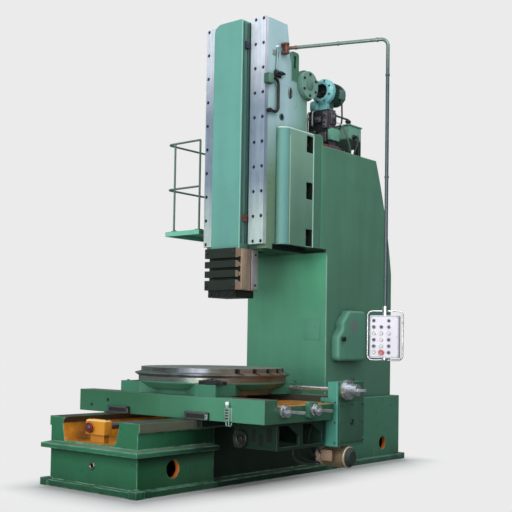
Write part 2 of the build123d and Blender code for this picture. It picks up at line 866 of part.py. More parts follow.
# Cross nut, bolted under the cross slide and reaching down into the screw slot
with BuildPart() as cross_nut:
    with BuildSketch(Plane.XY.offset(cross_screw_height - cross_nut_below_axis)):
        with Locations((cross_nut_x, saddle_mid_y)):
            Rectangle(cross_nut_length, cross_nut_width)
    extrude(amount=cross_bottom - cross_screw_height + cross_nut_below_axis)
    with BuildSketch(Plane.YZ.offset(cross_nut_x - cross_nut_length / 2)):
        with Locations((saddle_mid_y, cross_screw_height)):
            Circle(cross_screw_radius + fit_gap)
    extrude(amount=cross_nut_length, mode=Mode.SUBTRACT)
save(cross_nut, "cross_nut")

# Table bearing ring of ground steel
with BuildPart() as bearing_ring:
    with BuildSketch(Plane.XY.offset(ring_bottom)):
        with Locations((cross_x, saddle_mid_y)):
            Circle(ring_radius)
            Circle(ring_bore, mode=Mode.SUBTRACT)
    extrude(amount=ring_top - ring_bottom)
save(bearing_ring, "bearing_ring")

# Index block on the right front ear
with BuildPart() as index_block:
    with BuildSketch(Plane.XY.offset(cross_slide_top)):
        with Locations((cross_right - index_block_length / 2, saddle_front + 0.8 * index_block_width)):
            Rectangle(index_block_length, index_block_width)
    extrude(amount=index_block_height)
save(index_block, "index_block")

# Worm on a hollow sleeve that slides along the rotary feed shaft with the cross slide
with BuildPart() as worm:
    with BuildSketch(Plane.YZ.offset(sleeve_left)):
        with Locations((worm_y, worm_height)):
            Circle(sleeve_radius)
    extrude(amount=cross_right - sleeve_left)
    with BuildSketch(Plane.YZ.offset(cross_x - worm_length / 2)):
        with Locations((worm_y, worm_height)):
            Circle(worm_radius)
    extrude(amount=worm_length)
    with BuildSketch(Plane.YZ.offset(sleeve_left)):
        with Locations((worm_y, worm_height)):
            Circle(feed_shaft_radius + fit_gap)
    extrude(amount=cross_right - sleeve_left, mode=Mode.SUBTRACT)
save(worm, "worm")

# Rotary table: turned disc with a sharp flange, T-slots across it and a spindle below
rim_foot = table_top - table_rim_height
flange_top = table_foot + table_flange_height
with BuildPart() as rotary_table:
    with BuildSketch(Plane.XZ.offset(-saddle_mid_y)):
        with BuildLine():
            Polyline(
                (cross_x, table_top - centre_bore_depth),
                (cross_x + centre_bore_radius, table_top - centre_bore_depth),
                (cross_x + centre_bore_radius, table_top - centre_recess_depth),
                (cross_x + centre_recess_radius, table_top - centre_recess_depth),
                (cross_x + centre_recess_radius, table_top),
                (cross_x + table_radius, table_top),
                (cross_x + table_radius, rim_foot),
                (cross_x + table_flange_radius, flange_top),
                (cross_x + table_flange_radius, flange_top - table_flange_edge),
                (cross_x + table_foot_radius, table_foot),
                (cross_x + ring_bore, table_foot),
                (cross_x + ring_bore, table_foot + underside_recess),
                (cross_x + hub_radius, table_foot + underside_recess),
                (cross_x + hub_radius, hub_bottom),
                (cross_x + spindle_radius, hub_bottom),
                (cross_x + spindle_radius, spindle_bottom),
                (cross_x, spindle_bottom),
                close=True,
            )
        make_face()
    revolve(axis=table_axis)
    with BuildSketch(Plane.YZ.offset(cross_x - table_flange_radius)):
        for number in range(slot_count):
            slot_y = saddle_mid_y + (number - (slot_count - 1) / 2) * slot_pitch
            with Locations((slot_y, table_top - slot_neck_depth / 2)):
                Rectangle(slot_neck, slot_neck_depth)
            with Locations((slot_y, table_top - slot_neck_depth - slot_foot_depth / 2)):
                Rectangle(slot_foot, slot_foot_depth)
    extrude(amount=2 * table_flange_radius, mode=Mode.SUBTRACT)
save(rotary_table, "rotary_table")

# Worm wheel under the table, its rim hollowed to the worm
throat_radius = worm_radius + wheel_mesh_gap
wheel_half = (hub_bottom - wheel_bottom) / 2
wheel_edge = worm_offset - math.sqrt(throat_radius**2 - wheel_half**2)
with BuildPart() as worm_wheel:
    with BuildSketch(Plane.XZ.offset(-saddle_mid_y)):
        with BuildLine():
            Line((cross_x + wheel_edge, wheel_bottom), (cross_x + spindle_radius + fit_gap, wheel_bottom))
            Line(
                (cross_x + spindle_radius + fit_gap, wheel_bottom),
                (cross_x + spindle_radius + fit_gap, hub_bottom),
            )
            Line((cross_x + spindle_radius + fit_gap, hub_bottom), (cross_x + wheel_edge, hub_bottom))
            ThreePointArc(
                (cross_x + wheel_edge, hub_bottom),
                (cross_x + worm_offset - throat_radius, worm_height),
                (cross_x + wheel_edge, wheel_bottom),
            )
        make_face()
    revolve(axis=table_axis)
save(worm_wheel, "worm_wheel")

# Column: hollow casting with a curved back, a corbelled front and two cheeks that hold the ram head
inner_half = column_half_width - column_wall
with BuildPart() as column:
    with BuildSketch(Plane.YZ):
        with BuildLine():
            Line((column_front, pedestal_height), (column_front, cheek_bottom - corbel_radius))
            ThreePointArc(
                (column_front, cheek_bottom - corbel_radius),
                (
                    column_front - corbel_radius * (1 - math.sqrt(0.5)),
                    cheek_bottom - corbel_radius * (1 - math.sqrt(0.5)),
                ),
                (column_front - corbel_radius, cheek_bottom),
            )
            Polyline(
                (column_front - corbel_radius, cheek_bottom),
                (cheek_root, cheek_bottom),
                (cheek_root, column_top),
                (column_top_back, column_top),
            )
            ThreePointArc(
                (column_top_back, column_top),
                (column_bulge_y, column_bulge_z),
                (column_back, column_back_straight),
            )
            Polyline(
                (column_back, column_back_straight),
                (column_back, pedestal_height),
                (column_front, pedestal_height),
            )
        make_face()
    extrude(amount=column_half_width, both=True)
    # Cheeks, rounded at the nose and running out to the column's sides
    with BuildSketch(Plane.XY.offset(cheek_bottom)) as cheek_plan:
        with BuildLine():
            Polyline(
                (cheek_inner, cheek_root + column_wall),
                (column_half_width, cheek_root + column_wall),
                (column_half_width, cheek_root),
                (cheek_half_width, cheek_root - cheek_ramp),
                (cheek_half_width, cheek_front),
                (cheek_inner, cheek_front),
                close=True,
            )
        make_face()
        fillet(cheek_plan.vertices().group_by(Axis.Y)[0].sort_by(Axis.X)[-1], cheek_nose_radius)
        mirror(about=Plane.YZ)
    extrude(amount=cheek_top - cheek_bottom)
    fillet(
        column.edges().filter_by(Axis.X).group_by(Axis.Z)[-1].group_by(Axis.Y)[-1],
        cheek_back_radius,
    )
    # Cored inside, open at the foot and at the back behind the rear cover
    with BuildSketch(Plane.YZ):
        with BuildLine():
            Polyline(
                (column_back - column_wall, column_back_straight),
                (column_back - column_wall, pedestal_height),
                (column_front + column_wall, pedestal_height),
                (column_front + column_wall, cheek_bottom + column_wall),
                (cheek_root + column_wall, cheek_bottom + column_wall),
                (cheek_root + column_wall, column_top - column_wall),
                (column_top_back - column_wall, column_top - column_wall),
            )
            ThreePointArc(
                (column_top_back - column_wall, column_top - column_wall),
                (column_bulge_y - column_wall, column_bulge_z - column_wall),
                (column_back - column_wall, column_back_straight),
            )
        make_face()
    extrude(amount=inner_half, both=True, mode=Mode.SUBTRACT)
    with BuildSketch(Plane.XZ.offset(-column_back)):
        with Locations((0, rear_cover_bottom + rear_cover_height / 2)):
            Rectangle(
                2 * (rear_cover_half_width - rear_opening_margin),
                rear_cover_height - 2 * rear_opening_margin,
            )
    extrude(amount=column_wall, mode=Mode.SUBTRACT)
    # Clamp windows in the cheeks
    with BuildSketch(Plane.YZ):
        for number in range(3):
            window_z = window_top - window_height / 2 - number * window_pitch
            with Locations((cheek_root - cheek_ramp - window_length / 2, window_z)):
                Rectangle(window_length, window_height)
    extrude(amount=column_half_width, both=True, mode=Mode.SUBTRACT)
    # Blind seats of the trunnion pins
    for side in (-1, 1):
        with BuildSketch(Plane.YZ.offset(side * cheek_inner)):
            with Locations((trunnion_y, trunnion_z)):
                Circle(trunnion_radius + fit_gap)
        extrude(amount=side * trunnion_in_cheek, mode=Mode.SUBTRACT)
save(column, "column")

# Trunnion pins, seated in the cheeks, on which the ram head tilts
with BuildPart() as trunnion_pins:
    for side in (-1, 1):
        with BuildSketch(Plane.YZ.offset(side * (head_half_width - head_wall))):
            with Locations((trunnion_y, trunnion_z)):
                Circle(trunnion_radius)
        extrude(amount=side * (head_wall + head_side_gap + trunnion_in_cheek))
save(trunnion_pins, "trunnion_pins")

# Cast side cover, narrower above a rounded shoulder, hollow towards the column
side_cover_back = side_cover_front + side_cover_length
side_cover_top = side_cover_bottom + side_cover_height
side_cover_neck_y = side_cover_front + side_cover_neck
with BuildPart() as side_cover:
    with BuildSketch(Plane.YZ.offset(column_half_width)) as cover_outline:
        with BuildLine():
            FilletPolyline(
                (side_cover_front, side_cover_bottom),
                (side_cover_back, side_cover_bottom),
                (side_cover_back, side_cover_top),
                (side_cover_neck_y + side_cover_crown, side_cover_top),
                (side_cover_neck_y, side_cover_top - side_cover_crown),
                (side_cover_neck_y, side_cover_top - side_cover_neck_drop),
                (side_cover_front, side_cover_top - side_cover_shoulder_drop),
                close=True,
                radius=side_cover_bend,
            )
        make_face()
    extrude(amount=side_cover_depth)
    fillet(side_cover.faces().sort_by(Axis.X)[-1].edges(), side_cover_edge)
    with BuildSketch(Plane.YZ.offset(column_half_width)):
        add(cover_outline.sketch_local)
        offset(amount=-side_cover_edge, mode=Mode.REPLACE)
    extrude(amount=side_cover_depth - side_cover_wall, mode=Mode.SUBTRACT)
save(side_cover, "side_cover")

# Rear cover: a shallow pressed pan over the opening in the column's back
with BuildPart() as rear_cover:
    with BuildSketch(Plane.XZ.offset(-column_back)):
        with Locations((0, rear_cover_bottom + rear_cover_height / 2)):
            Rectangle(2 * rear_cover_half_width, rear_cover_height)
    extrude(amount=-rear_cover_depth)
    with BuildSketch(Plane.XZ.offset(-column_back)):
        with Locations((0, rear_cover_bottom + rear_cover_height / 2)):
            Rectangle(
                2 * (rear_cover_half_width - rear_opening_margin),
                rear_cover_height - 2 * rear_opening_margin,
            )
    extrude(amount=-(rear_cover_depth - rear_cover_wall), mode=Mode.SUBTRACT)
save(rear_cover, "rear_cover")

# Oil tank on four legs, with a lid
tank_mid_y = tank_front + tank_length / 2
with BuildPart() as oil_tank:
    with BuildSketch(Plane.XY.offset(tank_bottom)):
        with Locations((tank_x, tank_mid_y)):
            Rectangle(tank_width, tank_length)
    extrude(amount=tank_height - tank_lid)
    with BuildSketch(Plane.XY.offset(tank_bottom + tank_height - tank_lid)):
        with Locations((tank_x, tank_mid_y)):
            Rectangle(tank_width + 2 * tank_lid_overhang, tank_length + 2 * tank_lid_overhang)
    extrude(amount=tank_lid)
    with BuildSketch(Plane.XY.offset(column_top)):
        with Locations((tank_x, tank_mid_y)):
            with GridLocations(tank_width - tank_leg, tank_length - tank_leg, 2, 2):
                Rectangle(tank_leg, tank_leg)
    extrude(amount=tank_bottom - column_top)
    with BuildSketch(Plane.XY.offset(tank_bottom + tank_wall)):
        with Locations((tank_x, tank_mid_y)):
            Rectangle(tank_width - 2 * tank_wall, tank_length - 2 * tank_wall)
    extrude(amount=tank_height - tank_lid - tank_wall, mode=Mode.SUBTRACT)
save(oil_tank, "oil_tank")

# Pump and valve block on a base plate
pump_mid_y = pump_front + pump_length / 2
pump_top = column_top + pump_block_height
with BuildPart() as pump_block:
    with BuildSketch(Plane.XY.offset(column_top)):
        with Locations((pump_block_x, pump_mid_y)):
            Rectangle(pump_width + pump_base_height, pump_length + pump_base_height)
    extrude(amount=pump_base_height)
    with BuildSketch(Plane.XY.offset(column_top)):
        with Locations((pump_block_x, pump_mid_y)):
            Rectangle(pump_width, pump_length)
    extrude(amount=pump_block_height)
save(pump_block, "pump_block")

# Pump motor, axis along Y: bell with a round mouth, a narrower barrel and a foot
pump_axis_z = pump_top + pump_motor_foot + pump_motor_radius
with BuildPart() as pump_motor:
    with BuildSketch(Plane.XZ.offset(-pump_motor_front)):
        with Locations((pump_x, pump_axis_z)):
            Circle(pump_motor_radius)
    extrude(amount=-pump_motor_length / 4)
    chamfer(pump_motor.edges().filter_by(GeomType.CIRCLE).sort_by(Axis.Y)[0], pump_motor_radius / 4)
    with BuildSketch(Plane.XZ.offset(-pump_motor_front - pump_motor_length / 4)):
        with Locations((pump_x, pump_axis_z)):
            Circle(pump_barrel_radius)
    extrude(amount=-3 * pump_motor_length / 4)
    with BuildSketch(Plane.XZ.offset(-pump_motor_front)):
        with Locations((pump_x, pump_axis_z)):
            Circle(pump_motor_opening)
    extrude(amount=-pump_motor_length / 6, mode=Mode.SUBTRACT)
    with BuildSketch(Plane.XY.offset(pump_top)):
        with Locations((pump_x, pump_front + pump_length / 2)):
            Rectangle(pump_barrel_radius, pump_length)
    extrude(amount=pump_motor_foot + pump_motor_radius - pump_motor_opening)
save(pump_motor, "pump_motor")

# Oil pipes: one from the column up to the block, one from the block over into the tank
pipe_x = pump_block_x - pump_width / 2
tank_pipe_x = tank_x + tank_width / 3
pipe_reach = 2 * pipe_bend
with BuildPart() as oil_pipes:
    with BuildLine(Plane.XZ.offset(-pump_mid_y)) as rise_path:
        FilletPolyline(
            (pipe_x - pipe_reach, column_top),
            (pipe_x - pipe_reach, pump_top - pipe_bend),
            (pipe_x, pump_top - pipe_bend),
            radius=pipe_bend,
        )
    with BuildSketch(Plane(origin=rise_path.line @ 0, z_dir=rise_path.line % 0)):
        Circle(pipe_radius)
    sweep(path=rise_path.line)
    with BuildLine(Plane.YZ.offset(tank_pipe_x)) as tank_path:
        FilletPolyline(
            (pump_front + pump_length, tank_bottom + tank_height + pipe_bend + pipe_radius),
            (tank_front + pipe_reach, tank_bottom + tank_height + pipe_bend + pipe_radius),
            (tank_front + pipe_reach, tank_bottom + tank_height),
            radius=pipe_bend,
        )
    with BuildSketch(Plane(origin=tank_path.line @ 0, z_dir=tank_path.line % 0)):
        Circle(pipe_radius)
    sweep(path=tank_path.line)
save(oil_pipes, "oil_pipes")

# Service platform: plate on a welded frame, with two gussets bolted to the column's left side
deck_right = -column_half_width
deck_width = deck_right - deck_left
deck_mid_x = (deck_left + deck_right) / 2
deck_back = deck_front + deck_length
deck_mid_y = (deck_front + deck_back) / 2
with BuildPart() as service_platform:
    with BuildSketch(Plane.XY.offset(deck_top - deck_thickness)):
        with Locations((deck_mid_x, deck_mid_y)):
            Rectangle(deck_width, deck_length)
            Rectangle(deck_width - 2 * deck_frame, deck_length - 2 * deck_frame, mode=Mode.SUBTRACT)
    extrude(amount=deck_thickness)
    with BuildSketch(Plane.XY.offset(deck_top - deck_plate)):
        with Locations((deck_mid_x, deck_mid_y)):
            Rectangle(deck_width, deck_length)
    extrude(amount=deck_plate)
    for gusset_y in (column_front + deck_bracket_thickness, deck_back - deck_bracket_thickness):
        with BuildSketch(Plane.XZ.offset(-gusset_y)):
            with BuildLine():
                Polyline(
                    (deck_right, deck_top - deck_plate),
                    (deck_left + deck_frame / 2, deck_top - deck_plate),
                    (deck_left + deck_frame / 2, deck_top - deck_thickness),
                    (deck_right, deck_top - deck_thickness - deck_bracket_drop),
                    close=True,
                )
            make_face()
        extrude(amount=deck_bracket_thickness / 2, both=True)
save(service_platform, "service_platform")

# Guard rail: two bent tubes on welded posts along the open edges of the platform
rail_left = deck_left + rail_inset
rail_right = deck_right - rail_inset
rail_front = deck_front + rail_inset
rail_back = deck_back - rail_inset
post_places = (
    (rail_right, rail_front),
    (rail_left + 2 * rail_corner, rail_front),
    (rail_left, (rail_front + rail_back) / 2),
    (rail_left, rail_back - 2 * rail_corner),
    (rail_right, rail_back),
)
with BuildPart() as guard_rail:
    for height in (rail_top, rail_middle):
        with BuildLine(Plane.XY.offset(deck_top + height)) as rail_path:
            FilletPolyline(
                (rail_right, rail_front),
                (rail_left, rail_front),
                (rail_left, rail_back),
                (rail_right, rail_back),
                radius=rail_corner,
            )
        with BuildSketch(Plane(origin=rail_path.line @ 0, z_dir=rail_path.line % 0)):
            Circle(rail_radius)
        sweep(path=rail_path.line)
    with BuildSketch(Plane.XY.offset(deck_top)):
        with Locations(*post_places):
            Circle(rail_radius)
    extrude(amount=rail_top)
save(guard_rail, "guard_rail")

# Ram head: tilting guide casting with a ram channel in front, open and ribbed behind
head_inner = head_half_width - head_wall
room_back = cylinder_y + cylinder_room
cylinder_top = cylinder_bottom + cylinder_length
with BuildPart() as ram_head:
    with BuildSketch(Plane.YZ):
        with BuildLine():
            Polyline(
                (gib_back, head_bottom),
                (gib_back, head_top),
                (head_back_top, head_top),
                (head_back_shoulder_y, head_back_shoulder_z),
                (head_back_low, head_back_low_z),
                (head_back_low, head_bottom),
                close=True,
            )
        make_face()
        with Locations((hub_cover_y, hub_cover_z)):
            Circle(hub_boss_radius)
    extrude(amount=head_half_width, both=True)
    # Channel for the ram, room for its cylinder, and the cored back
    with BuildSketch(Plane.XY.offset(head_bottom)):
        with Locations((0, (gib_back + channel_back) / 2)):
            Rectangle(2 * (ram_flange_half + slide_gap), channel_back - gib_back)
    extrude(amount=head_top - head_bottom, mode=Mode.SUBTRACT)
    with BuildSketch(Plane.XY.offset(head_bottom)):
        with Locations((0, (channel_back + room_back) / 2)):
            Rectangle(2 * cylinder_room, room_back - channel_back)
    extrude(amount=cylinder_top - head_bottom, mode=Mode.SUBTRACT)
    with BuildSketch(Plane.XY.offset(head_bottom + 2 * head_wall)):
        core_front = channel_back + head_wall
        with Locations((0, (core_front + head_back_low) / 2)):
            Rectangle(2 * head_inner, head_back_low - core_front)
        with Locations((0, (core_front + room_back + head_wall) / 2)):
            Rectangle(
                2 * (cylinder_room + head_wall),
                room_back + head_wall - core_front,
                mode=Mode.SUBTRACT,
            )
    extrude(amount=head_back_low_z - head_bottom - 4 * head_wall, mode=Mode.SUBTRACT)
    for side in (-1, 1):
        # Trunnion seat and lifting lug on each side
        with BuildSketch(Plane.YZ.offset(side * head_half_width)):
            with Locations((trunnion_y, trunnion_z)):
                Circle(trunnion_radius + fit_gap)
        extrude(amount=-side * head_wall, mode=Mode.SUBTRACT)
        with BuildSketch(Plane.YZ.offset(side * head_half_width)):
            with Locations((lug_base_y + lug_width / 2, (hub_cover_z + lug_top_z) / 2)):
                RectangleRounded(lug_width, lug_top_z - hub_cover_z, lug_width / 4)
        extrude(amount=-side * lug_thickness)
        with BuildSketch(Plane.YZ.offset(side * head_half_width)):
            with Locations((lug_base_y + lug_width / 2, lug_top_z - lug_slot_height / 2 - lug_slot_width)):
                SlotOverall(lug_slot_height, lug_slot_width, rotation=90)
        extrude(amount=-side * lug_thickness, mode=Mode.SUBTRACT)
    # Ears of the pendant arm on the right side
    ear_x = head_half_width + ear_reach
    for ear_z in (arm_height - ear_gap / 2 - ear_plate, arm_height + ear_gap / 2):
        with BuildSketch(Plane.XY.offset(ear_z)):
            with Locations((ear_x, arm_pivot_y)):
                Circle(2 * arm_pin_radius)
            with Locations((head_half_width + ear_reach / 2, arm_pivot_y)):
                Rectangle(ear_reach, 4 * arm_pin_radius)
            with Locations((ear_x, arm_pivot_y)):
                Circle(arm_pin_radius + fit_gap, mode=Mode.SUBTRACT)
        extrude(amount=ear_plate)
save(ram_head, "ram_head")


def gib_plate(side):
    """One guide plate of the ram: ground steel with two columns of counterbored screw holes."""
    with BuildPart() as plate:
        with BuildSketch(Plane.XZ.offset(-gib_front)):
            with Locations((side * (gib_inner + head_half_width) / 2, (gib_bottom + head_top) / 2)):
                Rectangle(head_half_width - gib_inner, head_top - gib_bottom)
        extrude(amount=-gib_thickness)
        with BuildSketch(Plane.XZ.offset(-gib_front)):
            for column_x in gib_hole_columns:
                for row in range(gib_hole_rows):
                    with Locations((side * column_x, head_top - gib_hole_from_top - row * gib_hole_pitch)):
                        Circle(gib_hole_radius)
        extrude(amount=-gib_hole_depth, mode=Mode.SUBTRACT)
    return plate


# Gib plates, screwed to the head on both sides of the ram
gib_left = gib_plate(-1)
save(gib_left, "gib_left")
gib_right = gib_plate(1)
save(gib_right, "gib_right")

# Round hub covers on both sides of the head
with BuildPart() as hub_covers:
    for side in (-1, 1):
        with BuildSketch(Plane.YZ.offset(side * head_half_width)):
            with Locations((hub_cover_y, hub_cover_z)):
                Circle(hub_cover_radius)
        extrude(amount=side * hub_cover_depth)
save(hub_covers, "hub_covers")

# Hydraulic cylinder of the ram, held in the head by its two square end caps
cap_half = cylinder_room - slide_gap
with BuildPart() as ram_cylinder:
    with BuildSketch(Plane.XY.offset(cylinder_bottom)):
        with Locations((0, cylinder_y)):
            Circle(cylinder_bore + cylinder_wall)
    extrude(amount=cylinder_length)
    for cap_z in (cylinder_bottom, cylinder_top - cylinder_cap):
        with BuildSketch(Plane.XY.offset(cap_z)):
            with Locations((0, cylinder_y)):
                Rectangle(2 * cap_half, 2 * (cylinder_bore + cylinder_wall))
        extrude(amount=cylinder_cap)
    with BuildSketch(Plane.XY.offset(cylinder_bottom + cylinder_cap)):
        with Locations((0, cylinder_y)):
            Circle(cylinder_bore)
    extrude(amount=cylinder_length - 2 * cylinder_cap, mode=Mode.SUBTRACT)
    with BuildSketch(Plane.XY.offset(cylinder_bottom)):
        with Locations((0, cylinder_y)):
            Circle(rod_radius + fit_gap)
    extrude(amount=cylinder_cap, mode=Mode.SUBTRACT)
save(ram_cylinder, "ram_cylinder")

# Piston, rod and the foot that joins the rod to the ram's lower end
with BuildPart() as piston_rod:
    with BuildSketch(Plane.XY.offset(head_bottom)):
        with Locations((0, (ram_back + cylinder_y + rod_radius) / 2)):
            Rectangle(2 * rod_foot_half, cylinder_y + rod_radius - ram_back)
    extrude(amount=rod_foot_height)
    with BuildSketch(Plane.XY.offset(head_bottom)):
        with Locations((0, cylinder_y)):
            Circle(rod_radius)
    extrude(amount=piston_rest - head_bottom)
    with BuildSketch(Plane.XY.offset(piston_rest)):
        with Locations((0, cylinder_y)):
            Circle(cylinder_bore - fit_gap)
    extrude(amount=piston_length)
save(piston_rod, "piston_rod")

# Ram: a T-section slide, its flange behind the gibs and its painted boss standing out between them
with BuildPart() as ram:
    with BuildSketch(Plane.XY.offset(head_bottom)):
        with Locations((0, (ram_flange_front + ram_back) / 2)):
            Rectangle(2 * ram_flange_half, ram_flange_depth)
    extrude(amount=ram_top - head_bottom)
    with BuildSketch(Plane.XZ.offset(-ram_back)):
        with Locations((0, (head_bottom + ram_top) / 2)):
            Rectangle(2 * ram_half_width, ram_top - head_bottom)
    extrude(amount=ram_back - ram_front)
    boss_top_edges = ram.edges().filter_by(Axis.Y).group_by(Axis.Z)[-1].sort_by(Axis.X)
    fillet(boss_top_edges[1], ram_left_corner)
    boss_top_edges = ram.edges().filter_by(Axis.Y).group_by(Axis.Z)[-1].sort_by(Axis.X)
    fillet(boss_top_edges[-2], ram_right_corner)
save(ram, "ram")

# Tool head under the ram, with T-slots across its front
tool_bottom = head_bottom - tool_height
with BuildPart() as tool_head:
    with BuildSketch(Plane.XZ.offset(-tool_back)):
        with Locations((0, head_bottom - tool_height / 2)):
            Rectangle(2 * tool_half_width, tool_height)
    extrude(amount=tool_back - tool_front)
    with BuildSketch(Plane.YZ.offset(-tool_half_width)):
        for number in range(tool_slots):
            slot_z = head_bottom - tool_height / 2 + (number - (tool_slots - 1) / 2) * tool_slot_pitch
            with Locations((tool_front + tool_slot_neck_depth / 2, slot_z)):
                Rectangle(tool_slot_neck_depth, tool_slot_neck)
            with Locations((tool_front + tool_slot_neck_depth + tool_slot_foot_depth / 2, slot_z)):
                Rectangle(tool_slot_foot_depth, tool_slot_foot)
    extrude(amount=2 * tool_half_width, mode=Mode.SUBTRACT)
save(tool_head, "tool_head")

# Clamp plate that closes the tool head from below
with BuildPart() as tool_clamp:
    with BuildSketch(Plane.XY.offset(tool_bottom - clamp_height)):
        with Locations((0, (tool_front + tool_back) / 2)):
            Rectangle(2 * (tool_half_width - clamp_inset), tool_back - tool_front - 2 * clamp_inset)
    extrude(amount=clamp_height)
save(tool_clamp, "tool_clamp")

# Trip dogs on the right side of the ram's boss, in front of the gib
with BuildPart() as trip_dogs:
    for dog_z in (head_bottom + dog_low_rise, head_top - dog_high_drop):
        with BuildSketch(Plane.XY.offset(dog_z)):
            with Locations((ram_half_width + dog_length / 4, (ram_front + gib_front) / 2)):
                Rectangle(dog_length / 2, (gib_front - ram_front) / 2)
        extrude(amount=dog_length)
save(trip_dogs, "trip_dogs")

# Limit-switch box on the head's right side
with BuildPart() as switch_box:
    with BuildSketch(Plane.YZ.offset(head_half_width)):
        with Locations((switch_front + switch_width / 2, switch_bottom + switch_height / 2)):
            RectangleRounded(switch_width, switch_height, switch_width / 8)
    extrude(amount=switch_depth)
save(switch_box, "switch_box")

# Hose from the switch box down to a fitting on the head
hose_x = head_half_width + hose_offset
with BuildPart() as head_hose:
    with BuildLine(Plane.YZ.offset(hose_x)) as hose_path:
        FilletPolyline(
            (switch_front + switch_width, hose_top_z),
            (hose_back_y, hose_top_z),
            (hose_back_y, hose_low_z),
            (hose_end_y, hose_low_z),
            radius=hose_bend,
        )
    with BuildSketch(Plane(origin=hose_path.line @ 0, z_dir=hose_path.line % 0)):
        Circle(hose_radius)
    sweep(path=hose_path.line)
    with BuildSketch(Plane.YZ.offset(head_half_width)):
        with Locations((hose_end_y, hose_low_z)):
            RegularPolygon(1.5 * hose_radius, 6)
    extrude(amount=hose_offset + hose_radius)
save(head_hose, "head_hose")

# Pendant arm: bent pipe on a pin between the head's ears
pendant_top = pendant_bottom + loop_height
arm_cos = math.cos(math.radians(arm_angle))
arm_sin = math.sin(math.radians(arm_angle))
arm_plane = Plane((ear_x, arm_pivot_y, 0), x_dir=(arm_cos, arm_sin, 0), z_dir=(arm_sin, -arm_cos, 0))
with BuildPart() as pendant_arm:
    with BuildLine(arm_plane) as arm_path:
        FilletPolyline(
            (0, arm_height),
            (arm_length, arm_height),
            (arm_length, pendant_top),
            radius=arm_bend,
        )
    with BuildSketch(Plane(origin=arm_path.line @ 0, z_dir=arm_path.line % 0)):
        Circle(arm_pipe_radius)
        Circle(arm_pipe_radius - arm_pipe_wall, mode=Mode.SUBTRACT)
    sweep(path=arm_path.line)
    with BuildSketch(Plane.XY.offset(arm_height - ear_gap / 2 + slide_gap)):
        with Locations((ear_x, arm_pivot_y)):
            Circle(1.5 * arm_pin_radius)
    extrude(amount=ear_gap - 2 * slide_gap)
    with BuildSketch(Plane.XY.offset(arm_height - ear_gap / 2 - ear_plate)):
        with Locations((ear_x, arm_pivot_y)):
            Circle(arm_pin_radius)
    extrude(amount=ear_gap + 2 * ear_plate)
save(pendant_arm, "pendant_arm")

# Pendant handle: chrome tube bent into a loop, with the swivel collar on top and two stems to the box
loop_left = arm_length - loop_width / 2 + loop_tube_radius
loop_right = arm_length + loop_width / 2 - loop_tube_radius
loop_low = pendant_bottom + loop_tube_radius
loop_high = pendant_top - loop_tube_radius
box_bottom = pendant_bottom + box_lift
box_top = box_bottom + box_height
pendant_spot = arm_plane.from_local_coords((arm_length, 0, 0))
with BuildPart() as pendant_handle:
    with BuildLine(arm_plane) as loop_path:
        FilletPolyline(
            (loop_left, loop_low),
            (loop_right, loop_low),
            (loop_right, loop_high),
            (loop_left, loop_high),
            close=True,
            radius=loop_corner,
        )
    with BuildSketch(Plane(origin=loop_path.line @ 0, z_dir=loop_path.line % 0)):
        Circle(loop_tube_radius)
    sweep(path=loop_path.line)
    with BuildSketch(Plane.XY.offset(box_top)):
        with Locations((pendant_spot.X, pendant_spot.Y)):
            Circle(collar_radius)
    extrude(amount=pendant_top + collar_height - box_top)
    with BuildSketch(Plane.XY.offset(loop_low)):
        with Locations((pendant_spot.X, pendant_spot.Y)):
            Circle(collar_radius)
    extrude(amount=box_bottom - loop_low)
    with BuildSketch(Plane.XY.offset(pendant_top)):
        with Locations((pendant_spot.X, pendant_spot.Y)):
            Circle(arm_pipe_radius + fit_gap)
    extrude(amount=collar_height, mode=Mode.SUBTRACT)
save(pendant_handle, "pendant_handle")

# Pendant box with wells for the push buttons
well_depth = button_length - button_proud + button_travel + button_well_room
panel = arm_plane.offset(box_depth / 2)
buttons = {}
for row in range(button_rows):
    for column_number in range(button_columns):
        across = arm_length + button_shift + (column_number - (button_columns - 1) / 2) * button_pitch_x
        buttons[row, column_number] = (across, box_top - first_button_drop - row * button_pitch_z)
stop_place = (button_rows - 1, 1)
with BuildPart() as pendant_box:
    with BuildSketch(arm_plane):
        with Locations((arm_length, (box_bottom + box_top) / 2)):
            RectangleRounded(box_width, box_height, box_corner)
    extrude(amount=box_depth / 2, both=True)
    for key, spot in buttons.items():
        with BuildSketch(panel):
            with Locations(spot):
                Circle((stop_neck if key == stop_place else button_radius) + button_gap)
        extrude(amount=-well_depth, mode=Mode.SUBTRACT)
save(pendant_box, "pendant_box")

# Push buttons, each on its own, with the mushroom-headed stop button in the last row
for key, spot in buttons.items():
    stem_radius = stop_neck if key == stop_place else button_radius
    stem_proud = stop_lift if key == stop_place else button_proud
    with BuildPart() as button:
        with BuildSketch(panel.offset(button_proud - button_length)):
            with Locations(spot):
                Circle(stem_radius)
        extrude(amount=button_length - button_proud + stem_proud)
        if key == stop_place:
            with BuildSketch(panel.offset(stop_lift)):
                with Locations(spot):
                    Circle(stop_radius)
            extrude(amount=stop_thickness)
    save(button, "stop_button" if key == stop_place else f"button_{key[0] + 1}_{key[1] + 1}")
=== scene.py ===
import math
from itertools import product

import bmesh
import bpy
from mathutils import Matrix, Vector


